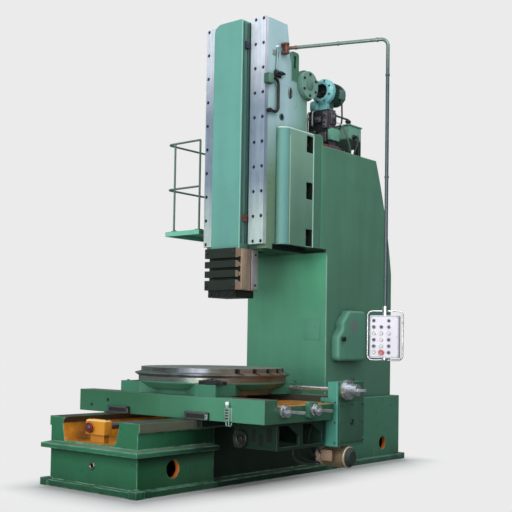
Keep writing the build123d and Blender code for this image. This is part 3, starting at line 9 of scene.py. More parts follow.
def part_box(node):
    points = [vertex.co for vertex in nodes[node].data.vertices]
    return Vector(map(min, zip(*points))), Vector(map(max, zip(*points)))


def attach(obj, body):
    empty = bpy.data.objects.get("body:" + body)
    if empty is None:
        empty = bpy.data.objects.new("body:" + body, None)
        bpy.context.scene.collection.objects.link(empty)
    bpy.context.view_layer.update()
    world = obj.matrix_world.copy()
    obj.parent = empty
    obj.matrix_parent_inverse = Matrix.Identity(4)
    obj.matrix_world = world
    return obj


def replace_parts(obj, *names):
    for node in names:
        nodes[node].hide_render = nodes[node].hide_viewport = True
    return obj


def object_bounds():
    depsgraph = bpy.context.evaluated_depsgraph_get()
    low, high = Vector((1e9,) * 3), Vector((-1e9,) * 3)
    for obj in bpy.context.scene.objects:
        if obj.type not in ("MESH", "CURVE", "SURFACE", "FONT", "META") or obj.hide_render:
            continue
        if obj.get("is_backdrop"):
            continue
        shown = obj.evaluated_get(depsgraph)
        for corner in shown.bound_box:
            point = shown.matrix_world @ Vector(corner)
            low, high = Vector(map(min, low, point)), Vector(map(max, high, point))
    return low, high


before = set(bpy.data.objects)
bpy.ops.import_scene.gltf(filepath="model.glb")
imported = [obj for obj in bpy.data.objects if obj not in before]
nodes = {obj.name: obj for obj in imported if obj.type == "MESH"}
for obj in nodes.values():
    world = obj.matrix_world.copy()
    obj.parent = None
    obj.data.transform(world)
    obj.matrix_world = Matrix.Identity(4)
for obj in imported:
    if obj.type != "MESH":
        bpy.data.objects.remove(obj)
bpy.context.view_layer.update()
scene = bpy.context.scene

# Studio: a pale floor that fades into the backdrop with a painted contact shadow round the bed's foot,
# soft lamps and a camera in the photograph's place. The key lamp stands in front and a weaker one hangs above the
# operator's side, so the front faces are lighter than the sides and the sides darken towards the floor; the enamel
# adds painted shade towards the floor too. Bright metal mirrors a dim hall.
floor_radius = 40.0
floor_fade = 0.7
shade_reach = 0.5
shade_shift = (0.14, -0.13, 0.0)
foot_corner = (0.672, 2.282, 0.0)
shade_grey = (0.42, 0.42, 0.42, 1.0)
open_grey = (0.80, 0.80, 0.80, 1.0)
bounce_grey = (0.10, 0.10, 0.10, 1.0)
camera_place = Vector((6.8665, -8.0964, 1.400))
camera_azimuth = math.radians(39.799)
camera_pitch = math.radians(2.5)
camera_roll = math.radians(0.9175)
camera_lens = 66.198
camera_shift = 0.0927


def srgb(red, green, blue):
    """A colour read off a screen in steps of 0 to 255, as the linear values that a shader takes."""
    steps = [step / 255.0 for step in (red, green, blue)]
    return tuple(s / 12.92 if s <= 0.04045 else ((s + 0.055) / 1.055) ** 2.4 for s in steps) + (1.0,)


def new_material(name):
    """An empty node material with a Principled shader; returns the material, its tree and the shader."""
    material = bpy.data.materials.new(name)
    material.use_nodes = True
    tree = material.node_tree
    return material, tree, tree.nodes["Principled BSDF"]


def fill(tree, sockets, values):
    """Links sockets to other ones or sets what they hold, by name or number."""
    for key, value in values.items():
        if isinstance(value, bpy.types.NodeSocket):
            tree.links.new(value, sockets[key])
        else:
            sockets[key].default_value = value


def node(tree, kind, inputs=None, **settings):
    """Adds a node, sets its options and fills its inputs."""
    made = tree.nodes.new(kind)
    for key, value in settings.items():
        setattr(made, key, value)
    fill(tree, made.inputs, inputs or {})
    return made


def math_node(tree, operation, *values, clamp=False):
    inputs = dict(enumerate(values))
    return node(tree, "ShaderNodeMath", inputs, operation=operation, use_clamp=clamp).outputs[0]


def times(tree, first, *others):
    for other in others:
        first = math_node(tree, "MULTIPLY", first, other)
    return first


def plus(tree, first, *others):
    for other in others:
        first = math_node(tree, "ADD", first, other)
    return first


def vector_node(tree, operation, *values, output="Vector"):
    return node(tree, "ShaderNodeVectorMath", dict(enumerate(values)), operation=operation).outputs[output]


def ramp(tree, value, low, high, start=0.0, end=1.0):
    """Maps a value's range to another one, held at both ends."""
    limits = {"Value": value, "From Min": low, "From Max": high, "To Min": start, "To Max": end}
    return node(tree, "ShaderNodeMapRange", limits).outputs[0]


def along(tree, vector):
    """A vector's three parts."""
    return node(tree, "ShaderNodeSeparateXYZ", {0: vector}).outputs


def object_spot(tree):
    return node(tree, "ShaderNodeTexCoord").outputs["Object"]


def mix_colour(tree, mask, first, second):
    return node(tree, "ShaderNodeMix", {0: mask, 6: first, 7: second}, data_type="RGBA").outputs[2]


def mix_shader(tree, mask, first, second):
    return node(tree, "ShaderNodeMixShader", {0: mask, 1: first.outputs[0], 2: second.outputs[0]})


backdrop = srgb(235, 235, 235)
world = bpy.data.worlds.new("studio")
scene.world = world
world.use_nodes = True
sky = world.node_tree
sky_ray = node(sky, "ShaderNodeLightPath").outputs
sky_way = along(sky, node(sky, "ShaderNodeTexCoord").outputs["Generated"])
sky_depth, sky_rise = sky_way[1], sky_way[2]
sky_front = ramp(sky, sky_depth, 0.0, -1.0)
sky_back = ramp(sky, sky_depth, 0.0, 1.0)
front_glow = times(sky, sky_front, sky_front, ramp(sky, sky_rise, 0.05, 0.60, 2.4, 0.5))
back_glow = times(sky, sky_back, sky_back)
sky_dome = plus(sky, front_glow, back_glow, ramp(sky, sky_rise, 0.55, 0.95, 0.22, 1.0))
hall_low = ramp(sky, sky_rise, 0.16, 0.02, 0.10, 0.62)
hall_high = ramp(sky, sky_rise, 0.20, 0.42, 0.0, 0.85)
hall_dim = ramp(sky, sky_rise, -0.30, 0.0, 0.25, 1.0)
hall_behind = ramp(sky, sky_depth, -0.1, 0.55, 1.0, 0.15)
hall_side = math_node(sky, "MAXIMUM", hall_behind, ramp(sky, sky_rise, 0.36, 0.60, 0.15, 1.0))
hall_glow = times(sky, plus(sky, hall_low, hall_high), hall_dim, hall_side)
sky_light = node(sky, "ShaderNodeBackground", {"Color": (0.94, 0.98, 1.0, 1.0), "Strength": sky_dome})
sky_hall = node(sky, "ShaderNodeBackground", {"Color": (0.93, 0.96, 1.0, 1.0), "Strength": hall_glow})
sky_seen = node(sky, "ShaderNodeBackground", {"Color": backdrop, "Strength": 1.0})
sky_dull = mix_shader(sky, sky_ray["Is Glossy Ray"], sky_light, sky_hall)
sky_mix = mix_shader(sky, sky_ray["Is Camera Ray"], sky_dull, sky_seen)
sky.links.new(sky_mix.outputs[0], sky.nodes["World Output"].inputs[0])

floor_paint, floor_tree, floor_shader = new_material("studio_floor")
floor_seen = node(floor_tree, "ShaderNodeLightPath").outputs["Is Camera Ray"]
# Painted contact shadow: the floor's colour darkens near the bed's foot, shifted towards the front and right.
floor_reach = vector_node(floor_tree, "SUBTRACT", object_spot(floor_tree), shade_shift)
floor_reach = vector_node(floor_tree, "SUBTRACT", vector_node(floor_tree, "ABSOLUTE", floor_reach), foot_corner)
floor_reach = vector_node(floor_tree, "MAXIMUM", floor_reach, (0.0, 0.0, 0.0))
floor_far = vector_node(floor_tree, "LENGTH", floor_reach, output="Value")
floor_shade = mix_colour(floor_tree, ramp(floor_tree, floor_far, 0.0, shade_reach), shade_grey, open_grey)
floor_tone = mix_colour(floor_tree, floor_seen, bounce_grey, floor_shade)
fill(floor_tree, floor_shader.inputs, {"Base Color": floor_tone, "Roughness": 0.9})
floor_open = math_node(floor_tree, "GREATER_THAN", floor_far, 0.0)
floor_edge = times(floor_tree, ramp(floor_tree, floor_far, 0.0, floor_fade, 0.10, 1.0), floor_seen, floor_open)
floor_glow = node(floor_tree, "ShaderNodeEmission", {"Color": backdrop, "Strength": 1.0})
floor_mix = mix_shader(floor_tree, floor_edge, floor_shader, floor_glow)
floor_tree.links.new(floor_mix.outputs[0], floor_tree.nodes["Material Output"].inputs[0])
floor_mesh = bmesh.new()
bmesh.ops.create_circle(floor_mesh, cap_ends=True, radius=floor_radius, segments=96)
floor_data = bpy.data.meshes.new("floor")
floor_mesh.to_mesh(floor_data)
floor_mesh.free()
floor = bpy.data.objects.new("floor", floor_data)
floor.data.materials.append(floor_paint)
scene.collection.objects.link(floor)
floor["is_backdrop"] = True


def lamp(name, place, target, width, height, power, colour):
    """A soft box or strip that hangs at one place and points at another."""
    light = bpy.data.lights.new(name, "AREA")
    light.shape = "RECTANGLE"
    light.size = width
    light.size_y = height
    light.energy = power
    light.color = colour
    holder = bpy.data.objects.new(name, light)
    holder.location = place
    holder.rotation_euler = (Vector(target) - Vector(place)).to_track_quat("-Z", "Y").to_euler()
    scene.collection.objects.link(holder)
    return holder


lamp("key_lamp", (4.4, -11.8, 4.3), (0.0, 0.0, 2.4), 7.0, 7.0, 380.0, (1.0, 0.99, 0.97))
lamp("side_lamp", (4.5, -1.5, 7.5), (0.3, 0.5, 2.6), 2.5, 2.5, 120.0, (0.97, 0.99, 1.0))
lamp("strip_lamp", (6.4, -4.4, 3.6), (0.4, 0.0, 2.4), 0.45, 4.5, 60.0, (0.96, 0.99, 1.0))
lamp("fill_lamp", (3.2, -9.6, 0.9), (0.0, 0.6, 2.0), 3.0, 1.6, 190.0, (1.0, 1.0, 1.0))
rim_lamp = lamp("rim_lamp", (-8.5, 8.5, 6.0), (0.0, 0.5, 2.4), 5.0, 5.0, 900.0, (1.0, 1.0, 1.0))
rim_lamp.visible_glossy = False

camera_data = bpy.data.cameras.new("photo_camera")
camera_data.sensor_width = 36.0
camera_data.lens = camera_lens
camera_data.shift_y = camera_shift
camera_data.clip_end = 200.0
camera = bpy.data.objects.new("photo_camera", camera_data)
level = math.cos(camera_pitch)
forward = Vector((-math.sin(camera_azimuth) * level, math.cos(camera_azimuth) * level, math.sin(camera_pitch)))
level_right = Vector((math.cos(camera_azimuth), math.sin(camera_azimuth), 0.0))
level_up = level_right.cross(forward)
right = level_right * math.cos(camera_roll) + level_up * math.sin(camera_roll)
up = level_up * math.cos(camera_roll) - level_right * math.sin(camera_roll)
turned = Matrix((right, up, -forward)).transposed().to_4x4()
camera.matrix_world = Matrix.Translation(camera_place) @ turned
scene.collection.objects.link(camera)
scene.camera = camera
scene.view_settings.view_transform = "Standard"

# Bed: one long cast-iron box with a drip flange, brushed with green enamel over filler and rubbed down.
# The two flat ways are ground bare, and the oil channel between them and the cored hollows keep their
# yellow-orange oil-proof primer.
green = srgb(79, 143, 115)
bare_iron = srgb(128, 150, 138)
way_steel = srgb(90, 88, 80)
primer_orange = srgb(188, 96, 34)
way_run = (-2.2240, 0.634)
channel = (-0.46, 0.376)
far = 9.0  # beyond the machine on every side


def mix_value(tree, mask, first, second):
    return node(tree, "ShaderNodeMix", {0: mask, 2: first, 3: second}, data_type="FLOAT").outputs[0]


def noise(tree, spot, scale, detail=2.0, rough=0.5):
    settings = {"Vector": spot, "Scale": scale, "Detail": detail, "Roughness": rough}
    return node(tree, "ShaderNodeTexNoise", settings).outputs["Fac"]


def shaded(tree, colour, value):
    """A colour made lighter or darker by a value."""
    return node(tree, "ShaderNodeHueSaturation", {"Color": colour, "Value": value}).outputs[0]


def shader_group(name, inputs, outputs):
    """A shared effect as a node group; returns the group, what it is given and what it puts out."""
    group = bpy.data.node_groups.new(name, "ShaderNodeTree")
    for label, kind, start in inputs:
        socket = group.interface.new_socket(name=label, in_out="INPUT", socket_type="NodeSocket" + kind)
        socket.default_value = start
    for label, kind in outputs:
        group.interface.new_socket(name=label, in_out="OUTPUT", socket_type="NodeSocket" + kind)
    return group, group.nodes.new("NodeGroupInput").outputs, group.nodes.new("NodeGroupOutput").inputs


rubbed_edge, given, result = shader_group(
    "rubbed_edge", [("Radius", "Float", 0.008)], [("Mask", "Float"), ("Normal", "Vector")]
)
tree = rubbed_edge
rounded = node(tree, "ShaderNodeBevel", {"Radius": given["Radius"]}, samples=4).outputs[0]
flat = node(tree, "ShaderNodeNewGeometry").outputs["Normal"]
bend = ramp(tree, vector_node(tree, "DOT_PRODUCT", rounded, flat, output="Value"), 0.985, 0.80)
patch = ramp(tree, noise(tree, object_spot(tree), 11.0, 4.0, 0.6), 0.36, 0.60)
fill(tree, result, {"Mask": times(tree, bend, patch), "Normal": rounded})

brushed_enamel, given, result = shader_group(
    "brushed_enamel",
    [
        ("Colour", "Color", green),
        ("Worn", "Color", bare_iron),
        ("Wear", "Float", 0.5),
        ("Rough", "Float", 0.4),
        ("Edge", "Float", 0.008),
    ],
    [("Colour", "Color"), ("Roughness", "Float"), ("Height", "Float"), ("Normal", "Vector")],
)
tree = brushed_enamel
spot = object_spot(tree)
height = along(tree, spot)[2]
broad = noise(tree, spot, 1.4, 4.0, 0.55)
filler = noise(tree, spot, 9.0, 3.0)
runs = noise(tree, vector_node(tree, "MULTIPLY", spot, (7.0, 7.0, 0.8)), 1.0, 3.0)
tone = math_node(tree, "MULTIPLY_ADD", broad, 0.34, 0.67)
tone = plus(tree, tone, times(tree, filler, 0.08), times(tree, runs, 0.24))
# Painted shade: the coat darkens towards the floor.
tone = times(tree, tone, ramp(tree, height, 0.1, 3.4, 0.80, 1.03))
coat = shaded(tree, given["Colour"], tone)
low_dirt = times(tree, ramp(tree, height, 0.30, 0.0), ramp(tree, runs, 0.3, 0.7), 0.6)
coat = mix_colour(tree, low_dirt, coat, srgb(32, 46, 36))
# Painted shade: corners and crevices are darkened by ambient occlusion.
corner = node(tree, "ShaderNodeAmbientOcclusion", {"Distance": 0.30}, samples=4).outputs["AO"]
coat = mix_colour(tree, ramp(tree, corner, 0.80, 0.20, 0.0, 0.80), coat, srgb(16, 30, 24))
top_face = ramp(tree, along(tree, node(tree, "ShaderNodeNewGeometry").outputs["Normal"])[2], 0.6, 0.95)
dust = times(tree, top_face, ramp(tree, broad, 0.35, 0.7, 0.1, 0.45))
coat = mix_colour(tree, dust, coat, srgb(128, 140, 130))
worn = node(tree, "ShaderNodeGroup", {"Radius": given["Edge"]}, node_tree=rubbed_edge).outputs
coat = mix_colour(tree, times(tree, worn["Mask"], given["Wear"]), coat, given["Worn"])
gloss = plus(tree, given["Rough"], times(tree, dust, 0.3), ramp(tree, filler, 0.3, 0.7, -0.06, 0.08))
waves = plus(tree, times(tree, filler, 3.0), times(tree, noise(tree, spot, 120.0, 1.0), 0.35))
fill(tree, result, {"Colour": coat, "Roughness": gloss, "Height": waves, "Normal": worn["Normal"]})

ground_face, given, result = shader_group(
    "ground_face",
    [("Colour", "Color", way_steel), ("Grain", "Vector", (40.0, 40.0, 2.0)), ("Rough", "Float", 0.3)],
    [("Colour", "Color"), ("Roughness", "Float"), ("Height", "Float")],
)
tree = ground_face
spot = object_spot(tree)
lines = noise(tree, vector_node(tree, "MULTIPLY", spot, given["Grain"]), 1.0, 6.0, 0.65)
smudge = noise(tree, spot, 5.0, 4.0, 0.6)
tone = plus(tree, ramp(tree, lines, 0.3, 0.7, 0.84, 1.12), ramp(tree, smudge, 0.35, 0.7, 0.04, -0.16))
gloss = plus(tree, given["Rough"], ramp(tree, lines, 0.3, 0.7, -0.06, 0.10), ramp(tree, smudge, 0.4, 0.7, 0.0, 0.14))
fill(tree, result, {"Colour": shaded(tree, given["Colour"], tone), "Roughness": gloss, "Height": lines})

box_zone, given, result = shader_group(
    "box_zone",
    [("Low", "Vector", (0.0, 0.0, 0.0)), ("High", "Vector", (1.0, 1.0, 1.0)), ("Soft", "Float", 0.001)],
    [("Mask", "Float")],
)
tree = box_zone
spot = object_spot(tree)
above = vector_node(tree, "SUBTRACT", spot, given["Low"])
below = vector_node(tree, "SUBTRACT", given["High"], spot)
depth = along(tree, vector_node(tree, "MINIMUM", above, below))
least = math_node(tree, "MINIMUM", math_node(tree, "MINIMUM", depth[0], depth[1]), depth[2])
fill(tree, result, {"Mask": math_node(tree, "DIVIDE", least, given["Soft"], clamp=True)})


def enamel(name, colour, worn=bare_iron, wear=0.5, rough=0.4, edge=0.008, bump=0.3):
    """A painted casting: mottled enamel over filler, rubbed through at its edges, dusty on top, with painted shade
    in corners and towards the floor.
    """
    material, tree, shader = new_material(name)
    values = {"Colour": colour, "Worn": worn, "Wear": wear, "Rough": rough, "Edge": edge}
    coat = node(tree, "ShaderNodeGroup", values, node_tree=brushed_enamel, name="coat").outputs
    wave = {"Strength": bump, "Distance": 0.002, "Height": coat["Height"], "Normal": coat["Normal"]}
    fill(tree, shader.inputs, {
        "Base Color": coat["Colour"],
        "Roughness": coat["Roughness"],
        "Normal": node(tree, "ShaderNodeBump", wave).outputs[0],
        "Specular IOR Level": 0.3,
        "Coat Weight": 0.10,
        "Coat Roughness": 0.12,
    })
    return material


def zone(material, x=(-far, far), y=(-far, far), z=(-far, far), soft=0.001):
    """A mask that is full inside a box and fades out over a soft rim within its faces."""
    low, high = zip(x, y, z)
    values = {"Low": low, "High": high, "Soft": soft}
    return node(material.node_tree, "ShaderNodeGroup", values, node_tree=box_zone).outputs["Mask"]


def fade_coat(material, mask, colour):
    """Fades a coat to another colour inside a mask, under its wear and dirt."""
    tree = material.node_tree
    socket = tree.nodes["coat"].inputs["Colour"]
    under = socket.links[0].from_socket if socket.is_linked else socket.default_value[:]
    tree.links.new(mix_colour(tree, mask, under, colour), socket)


def fade_zone(material, colour, **limits):
    """Fades a coat to another colour inside a box."""
    fade_coat(material, zone(material, **limits), colour)


def lay_over(material, mask, colour, rough, metal=0.0):
    """Changes the finish inside a mask, such as bare steel or primer on a painted casting."""
    tree = material.node_tree
    shader = tree.nodes["Principled BSDF"]
    changes = (("Base Color", colour, mix_colour), ("Roughness", rough, mix_value), ("Metallic", metal, mix_value))
    for label, value, mixer in changes:
        socket = shader.inputs[label]
        under = socket.links[0].from_socket if socket.is_linked else socket.default_value
        tree.links.new(mixer(tree, mask, under, value), socket)


def lay_zone(material, colour, rough, metal=0.0, **limits):
    """Changes the finish inside a box."""
    lay_over(material, zone(material, **limits), colour, rough, metal)


def ground_look(material, colour, grain, rough):
    """The colour and gloss of a ground face, for use inside a mask."""
    values = {"Colour": colour, "Grain": grain, "Rough": rough}
    made = node(material.node_tree, "ShaderNodeGroup", values, node_tree=ground_face).outputs
    return made["Colour"], made["Roughness"]


def stained(material, scale, low, high, clean, dirty):
    """Two tones of a primer, mixed in patches where oil has soaked in."""
    tree = material.node_tree
    stain = ramp(tree, noise(tree, object_spot(tree), scale, 6.0, 0.6), low, high)
    return mix_colour(tree, stain, clean, dirty)


def dress(material, *names):
    """Puts a material on CAD nodes."""
    for name in names:
        part = nodes[name]
        if not part.material_slots:
            part.data.materials.append(None)
        for place in part.material_slots:
            place.link = "OBJECT"
            place.material = material


# Its light rubbed-edge colour doubles as a painted highlight along the bed's edges.
bed_paint = enamel("bed_enamel", srgb(48, 114, 80), worn=srgb(138, 188, 164), wear=0.9, edge=0.020, rough=0.32)
bed_tree = bed_paint.node_tree
# Painted shade: the bed darkens towards its right side, as if shaded by the saddle.
fade_zone(bed_paint, srgb(6, 50, 28), x=(-0.30, far), y=(-2.24, 0.90), soft=0.80)
# Painted light: the lower side face of the front box is repainted lighter towards the back, to undo the shade that
# falls there.
box_side = zone(bed_paint, x=(0.60, far), y=(-2.2235, -1.20), z=(-far, 0.3665))
side_depth = zone(bed_paint, y=(-2.20, 0.20), soft=1.0)
fade_coat(bed_paint, box_side, mix_colour(bed_tree, side_depth, srgb(30, 91, 55), srgb(60, 110, 79)))
# Painted shade under the drip flange, near black on the right side face.
drip_shade = zone(bed_paint, y=(-far, -1.10), z=(0.250, 0.60), soft=0.115)
drip_shade = times(bed_tree, drip_shade, zone(bed_paint, y=(-far, -1.20), z=(-far, 0.3672), soft=0.0005))
fade_coat(bed_paint, drip_shade, mix_colour(bed_tree, box_side, srgb(24, 78, 52), srgb(2, 34, 20)))
fade_zone(bed_paint, srgb(80, 140, 112), y=(0.60, far), soft=0.10)
# Painted shade: the waist under the saddle is near black.
fade_zone(bed_paint, srgb(4, 34, 20), x=(-0.60, 0.60), y=(-1.21, 0.66), z=(-far, 0.60), soft=0.06)
primer_yellow = stained(bed_paint, 2.6, 0.44, 0.64, srgb(206, 134, 34), srgb(128, 80, 32))
slide_steel = ground_look(bed_paint, way_steel, (60.0, 2.0, 60.0), 0.36)
flank_steel = ground_look(bed_paint, srgb(112, 114, 98), (60.0, 2.0, 60.0), 0.40)
lay_zone(bed_paint, *slide_steel, 0.8, y=(-far, 0.634), z=(0.6690, 0.72))
for flank in ((-0.70, -0.621), (0.621, 0.70)):
    lay_zone(bed_paint, *flank_steel, 0.5, x=flank, y=way_run, z=(0.583, 0.6692))
lay_zone(bed_paint, primer_yellow, 0.5, x=channel, y=way_run, z=(0.44, 0.612))
lay_zone(bed_paint, *slide_steel, 0.7, x=channel, y=way_run, z=(0.610, 0.6695))
lay_zone(bed_paint, primer_orange, 0.6, x=(-0.6140, 0.6140), y=(-2.07, -1.47), z=(0.0, 0.39))
lay_zone(bed_paint, primer_orange, 0.6, x=(-0.6360, 0.6360), y=(1.55, 2.17), z=(0.0, 0.39))
dress(bed_paint, "bed")

# Drain bush: a turned steel bush pressed into the drain hole in the bed's front wall, with a rounded rim
# that stands a little proud of the paint.
drain_place = (0.0, -2.225, 0.239)
frontward = (0, -1, 0)


def at(place, axis):
    """A frame at a place whose own Z axis points along a given direction."""
    return Matrix.Translation(place) @ Vector(axis).to_track_quat("Z", "Y").to_matrix().to_4x4()


def add_turned(mesh, profile, seat, steps=32):
    """A turned shape: a profile of radius and height pairs spun round the Z axis of a frame."""
    shape = bmesh.new()
    points = [shape.verts.new((radius, 0.0, rise)) for radius, rise in profile]
    geom = points + [shape.edges.new(pair) for pair in zip(points, points[1:])]
    bmesh.ops.spin(
        shape, geom=geom, cent=(0, 0, 0), axis=(0, 0, 1), angle=2 * math.pi, steps=steps, use_merge=True
    )
    bmesh.ops.remove_doubles(shape, verts=shape.verts, dist=1e-6)
    bmesh.ops.transform(shape, matrix=seat, verts=shape.verts)
    data = bpy.data.meshes.new("turned_shape")
    shape.to_mesh(data)
    shape.free()
    mesh.from_mesh(data)
    bpy.data.meshes.remove(data)


def finish_piece(mesh, name, body, material, sharp=35.0):
    """Closes a mesh into an object that rides on a body and wears the given material."""
    bmesh.ops.recalc_face_normals(mesh, faces=mesh.faces)
    for face in mesh.faces:
        face.smooth = True
    data = bpy.data.meshes.new(name)
    mesh.to_mesh(data)
    mesh.free()
    data.set_sharp_from_angle(angle=math.radians(sharp))
    data.materials.append(material)
    piece = bpy.data.objects.new(name, data)
    scene.collection.objects.link(piece)
    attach(piece, body)
    return piece


def metal(name, colour, rough=0.35, grain=(30.0, 30.0, 30.0), metallic=1.0, edge=0.002, bump=0.15):
    """Bare or blackened metal with fine machining lines, smudges and slightly broken edges."""
    material, tree, shader = new_material(name)
    values = {"Colour": colour, "Grain": grain, "Rough": rough}
    look = node(tree, "ShaderNodeGroup", values, node_tree=ground_face, name="coat").outputs
    worn = node(tree, "ShaderNodeGroup", {"Radius": edge}, node_tree=rubbed_edge).outputs
    wave = {"Strength": bump, "Distance": 0.0005, "Height": look["Height"], "Normal": worn["Normal"]}
    fill(tree, shader.inputs, {
        "Base Color": mix_colour(tree, times(tree, worn["Mask"], 0.5), look["Colour"], srgb(190, 190, 188)),
        "Roughness": look["Roughness"],
        "Normal": node(tree, "ShaderNodeBump", wave).outputs[0],
        "Metallic": metallic,
    })
    return material


bush = bmesh.new()
ring = [(0.019, -0.03), (0.019, 0.004), (0.024, 0.008), (0.036, 0.008), (0.040, 0.004), (0.040, 0.0)]
add_turned(bush, ring, at(drain_place, frontward))
finish_piece(bush, "drain_bush", "frame", metal("drain_steel", srgb(150, 150, 146), 0.3))

# Feed screw: a fixed trapezoidal screw down the middle of the bed, cut with a single start, and the
# iron bracket that holds its front end, painted with the channel's primer.
screw_x, screw_z = -0.075, 0.590
screw_start, screw_end = -2.190, 0.684
screw_radius, screw_root = 0.0345, 0.029
screw_pitch = 0.016
turn_steps = 16
bracket_low, bracket_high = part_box("screw_bracket")
backward = (0, 1, 0)
upward = (0, 0, 1)
turns = int((screw_end - screw_start) / screw_pitch)
thread = bmesh.new()
rise = [(screw_root, 0.0), (screw_root, 0.22), (screw_radius, 0.36)]
tooth = rise + [(screw_radius, 0.78), (screw_root, 0.92), (screw_root, 1.0)]
points = [thread.verts.new((screw_x + r, screw_start + share * screw_pitch, screw_z)) for r, share in tooth]
lines = [thread.edges.new(pair) for pair in zip(points, points[1:])]
bmesh.ops.spin(
    thread,
    geom=points + lines,
    cent=(screw_x, 0.0, screw_z),
    axis=backward,
    dvec=(0, screw_pitch / turn_steps, 0),
    angle=2 * math.pi * turns,
    steps=turn_steps * turns,
)
bmesh.ops.remove_doubles(thread, verts=thread.verts, dist=1e-5)
journal = [(0.0, -0.036), (0.022, -0.036), (0.026, -0.032), (0.026, 0.012), (screw_root, 0.016), (0.0, 0.016)]
add_turned(thread, journal, at((screw_x, screw_start, screw_z), backward), 24)
screw_steel = metal("screw_steel", srgb(126, 124, 122), 0.32, (50.0, 50.0, 50.0))
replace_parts(finish_piece(thread, "feed_screw_thread", "frame", screw_steel), "feed_screw")


def add_screw(mesh, seat, radius, height):
    """A cap screw with a chamfered rim and an open socket."""
    rim = [(radius, 0), (radius, 0.82 * height), (0.86 * radius, height), (0.5 * radius, height)]
    add_turned(mesh, rim + [(0.5 * radius, 0.4 * height), (0, 0.4 * height)], seat, 12)


bracket_paint = enamel("bracket_primer", srgb(214, 142, 38), wear=0.5, rough=0.45)
# Painted highlight: the bracket's top face is lighter.
lay_zone(bracket_paint, srgb(222, 182, 104), 0.5, z=(0.649, far), soft=0.004)
dress(bracket_paint, "screw_bracket")
collar = bmesh.new()
ring = [(0.0265, 0.0), (0.0265, 0.014), (0.030, 0.018), (0.046, 0.018), (0.050, 0.014), (0.050, 0.0)]
add_turned(collar, ring, at((screw_x, bracket_low.y, screw_z), frontward))
collar_red = enamel("collar_red", srgb(126, 30, 24), wear=0.2, edge=0.002)
finish_piece(collar, "screw_end_collar", "frame", collar_red)
black_steel = metal("black_oxide_steel", srgb(52, 52, 54), 0.42, metallic=0.7)
bracket_screws = bmesh.new()
for x in (-0.125, 0.095):
    add_screw(bracket_screws, at((x, -2.135, bracket_high.z), upward), 0.012, 0.010)
finish_piece(bracket_screws, "bracket_screws", "frame", black_steel)

# Column: a hollow cast-iron column with two cheeks that carry the tilting head, enamelled like the bed.
# The cast edges are well rounded; the head is clamped through the cheek windows by large nuts.
window_tops = (3.766, 3.236, 2.706)
window_tall = 0.200
nut_x, nut_y, nut_drop = 0.448, 0.405, 0.095
sides = (-1.0, 1.0)
cheek = (0.53, far)
# Its light rubbed-edge colour doubles as a painted highlight along the column's edges.
column_paint = enamel("column_enamel", green, worn=srgb(158, 190, 178), wear=0.8, edge=0.020, rough=0.36)
column_tree = column_paint.node_tree
# Painted shade: the right side face is a darker copy of the green.
fade_zone(column_paint, srgb(84, 132, 110), x=(0.5870, far), y=(0.60, far))
# Painted light: the front face under the head is lightened where the head shades it.
painted_front_light = zone(column_paint, x=(-0.5885, 0.5885), y=(0.60, 0.712), z=(-far, 2.47), soft=0.004)
painted_front_light = times(column_tree, painted_front_light, zone(column_paint, z=(1.4, far), soft=0.8))
fade_coat(column_paint, painted_front_light, srgb(88, 164, 127))
# Painted highlight: a pale blue-green sheen on the cheek's rounded nose.
fade_zone(column_paint, srgb(100, 150, 144), x=(0.40, far), y=(-0.10, 0.060), z=(2.3, far), soft=0.05)
# Painted light: the cheek's side is a lighter tone, with painted shade darkening its lower part.
cheek_side = zone(column_paint, x=(0.5440, far), y=(0.030, 0.550), z=(2.4, far), soft=0.0008)
fade_coat(column_paint, cheek_side, srgb(124, 162, 144))
cheek_low_shade = times(column_tree, cheek_side, zone(column_paint, z=(-far, 3.70), soft=1.0))
fade_coat(column_paint, cheek_low_shade, srgb(92, 132, 112))
# Painted highlights: light lines at the nose's edge, the ramp's edge and the cheek's top edge; the ramp between them
# is painted in shade.
fade_zone(column_paint, srgb(190, 208, 186), x=cheek, y=(0.036, 0.052), z=(2.46, 3.72), soft=0.005)
fade_zone(column_paint, srgb(64, 104, 86), x=cheek, y=(0.472, 0.560), z=(2.40, far), soft=0.004)
fade_zone(column_paint, srgb(158, 190, 174), x=cheek, y=(0.462, 0.478), z=(2.46, 3.78), soft=0.005)
fade_zone(column_paint, srgb(196, 216, 208), x=(0.40, far), y=(-far, 0.470), z=(3.788, far), soft=0.005)
# Painted shade: the cheeks' undersides are near black.
fade_zone(column_paint, srgb(10, 24, 18), y=(-far, 0.68), z=(2.3, 2.506), soft=0.002)
# Painted highlight: a light line down the column's front right edge.
fade_zone(column_paint, srgb(122, 168, 148), x=(0.578, far), y=(0.685, 0.710), z=(0.790, 2.44), soft=0.008)
# Painted shade inside the cheek windows.
for side, top in product(sides, window_tops):
    wall = sorted((0.43 * side, 0.5435 * side))
    tall = (top - window_tall, top + 0.005)
    lay_zone(column_paint, srgb(22, 34, 28), 0.6, x=wall, y=(0.340, 0.470), z=tall)
dress(column_paint, "column")


def add_hex(mesh, seat, across, height):
    """A hexagon head or nut with a chamfered top, on a round washer."""
    corner = across / math.sqrt(3)
    washer = 0.18 * height
    add_turned(mesh, [(0, 0), (corner * 1.25, 0), (corner * 1.25, washer), (0, washer)], seat, 20)
    add_turned(mesh, [(corner, washer), (corner, 0.85 * height), (0.84 * corner, height), (0, height)], seat, 6)


clamp_nuts = bmesh.new()
for side, top in product(sides, window_tops):
    seat = at((side * nut_x, nut_y, top - nut_drop), (side, 0, 0))
    add_hex(clamp_nuts, seat, 0.062, 0.040)
    add_turned(clamp_nuts, [(0.02, 0.0), (0.02, 0.060), (0.016, 0.066), (0, 0.066)], seat, 16)
finish_piece(clamp_nuts, "head_clamp_nuts", "frame", black_steel)

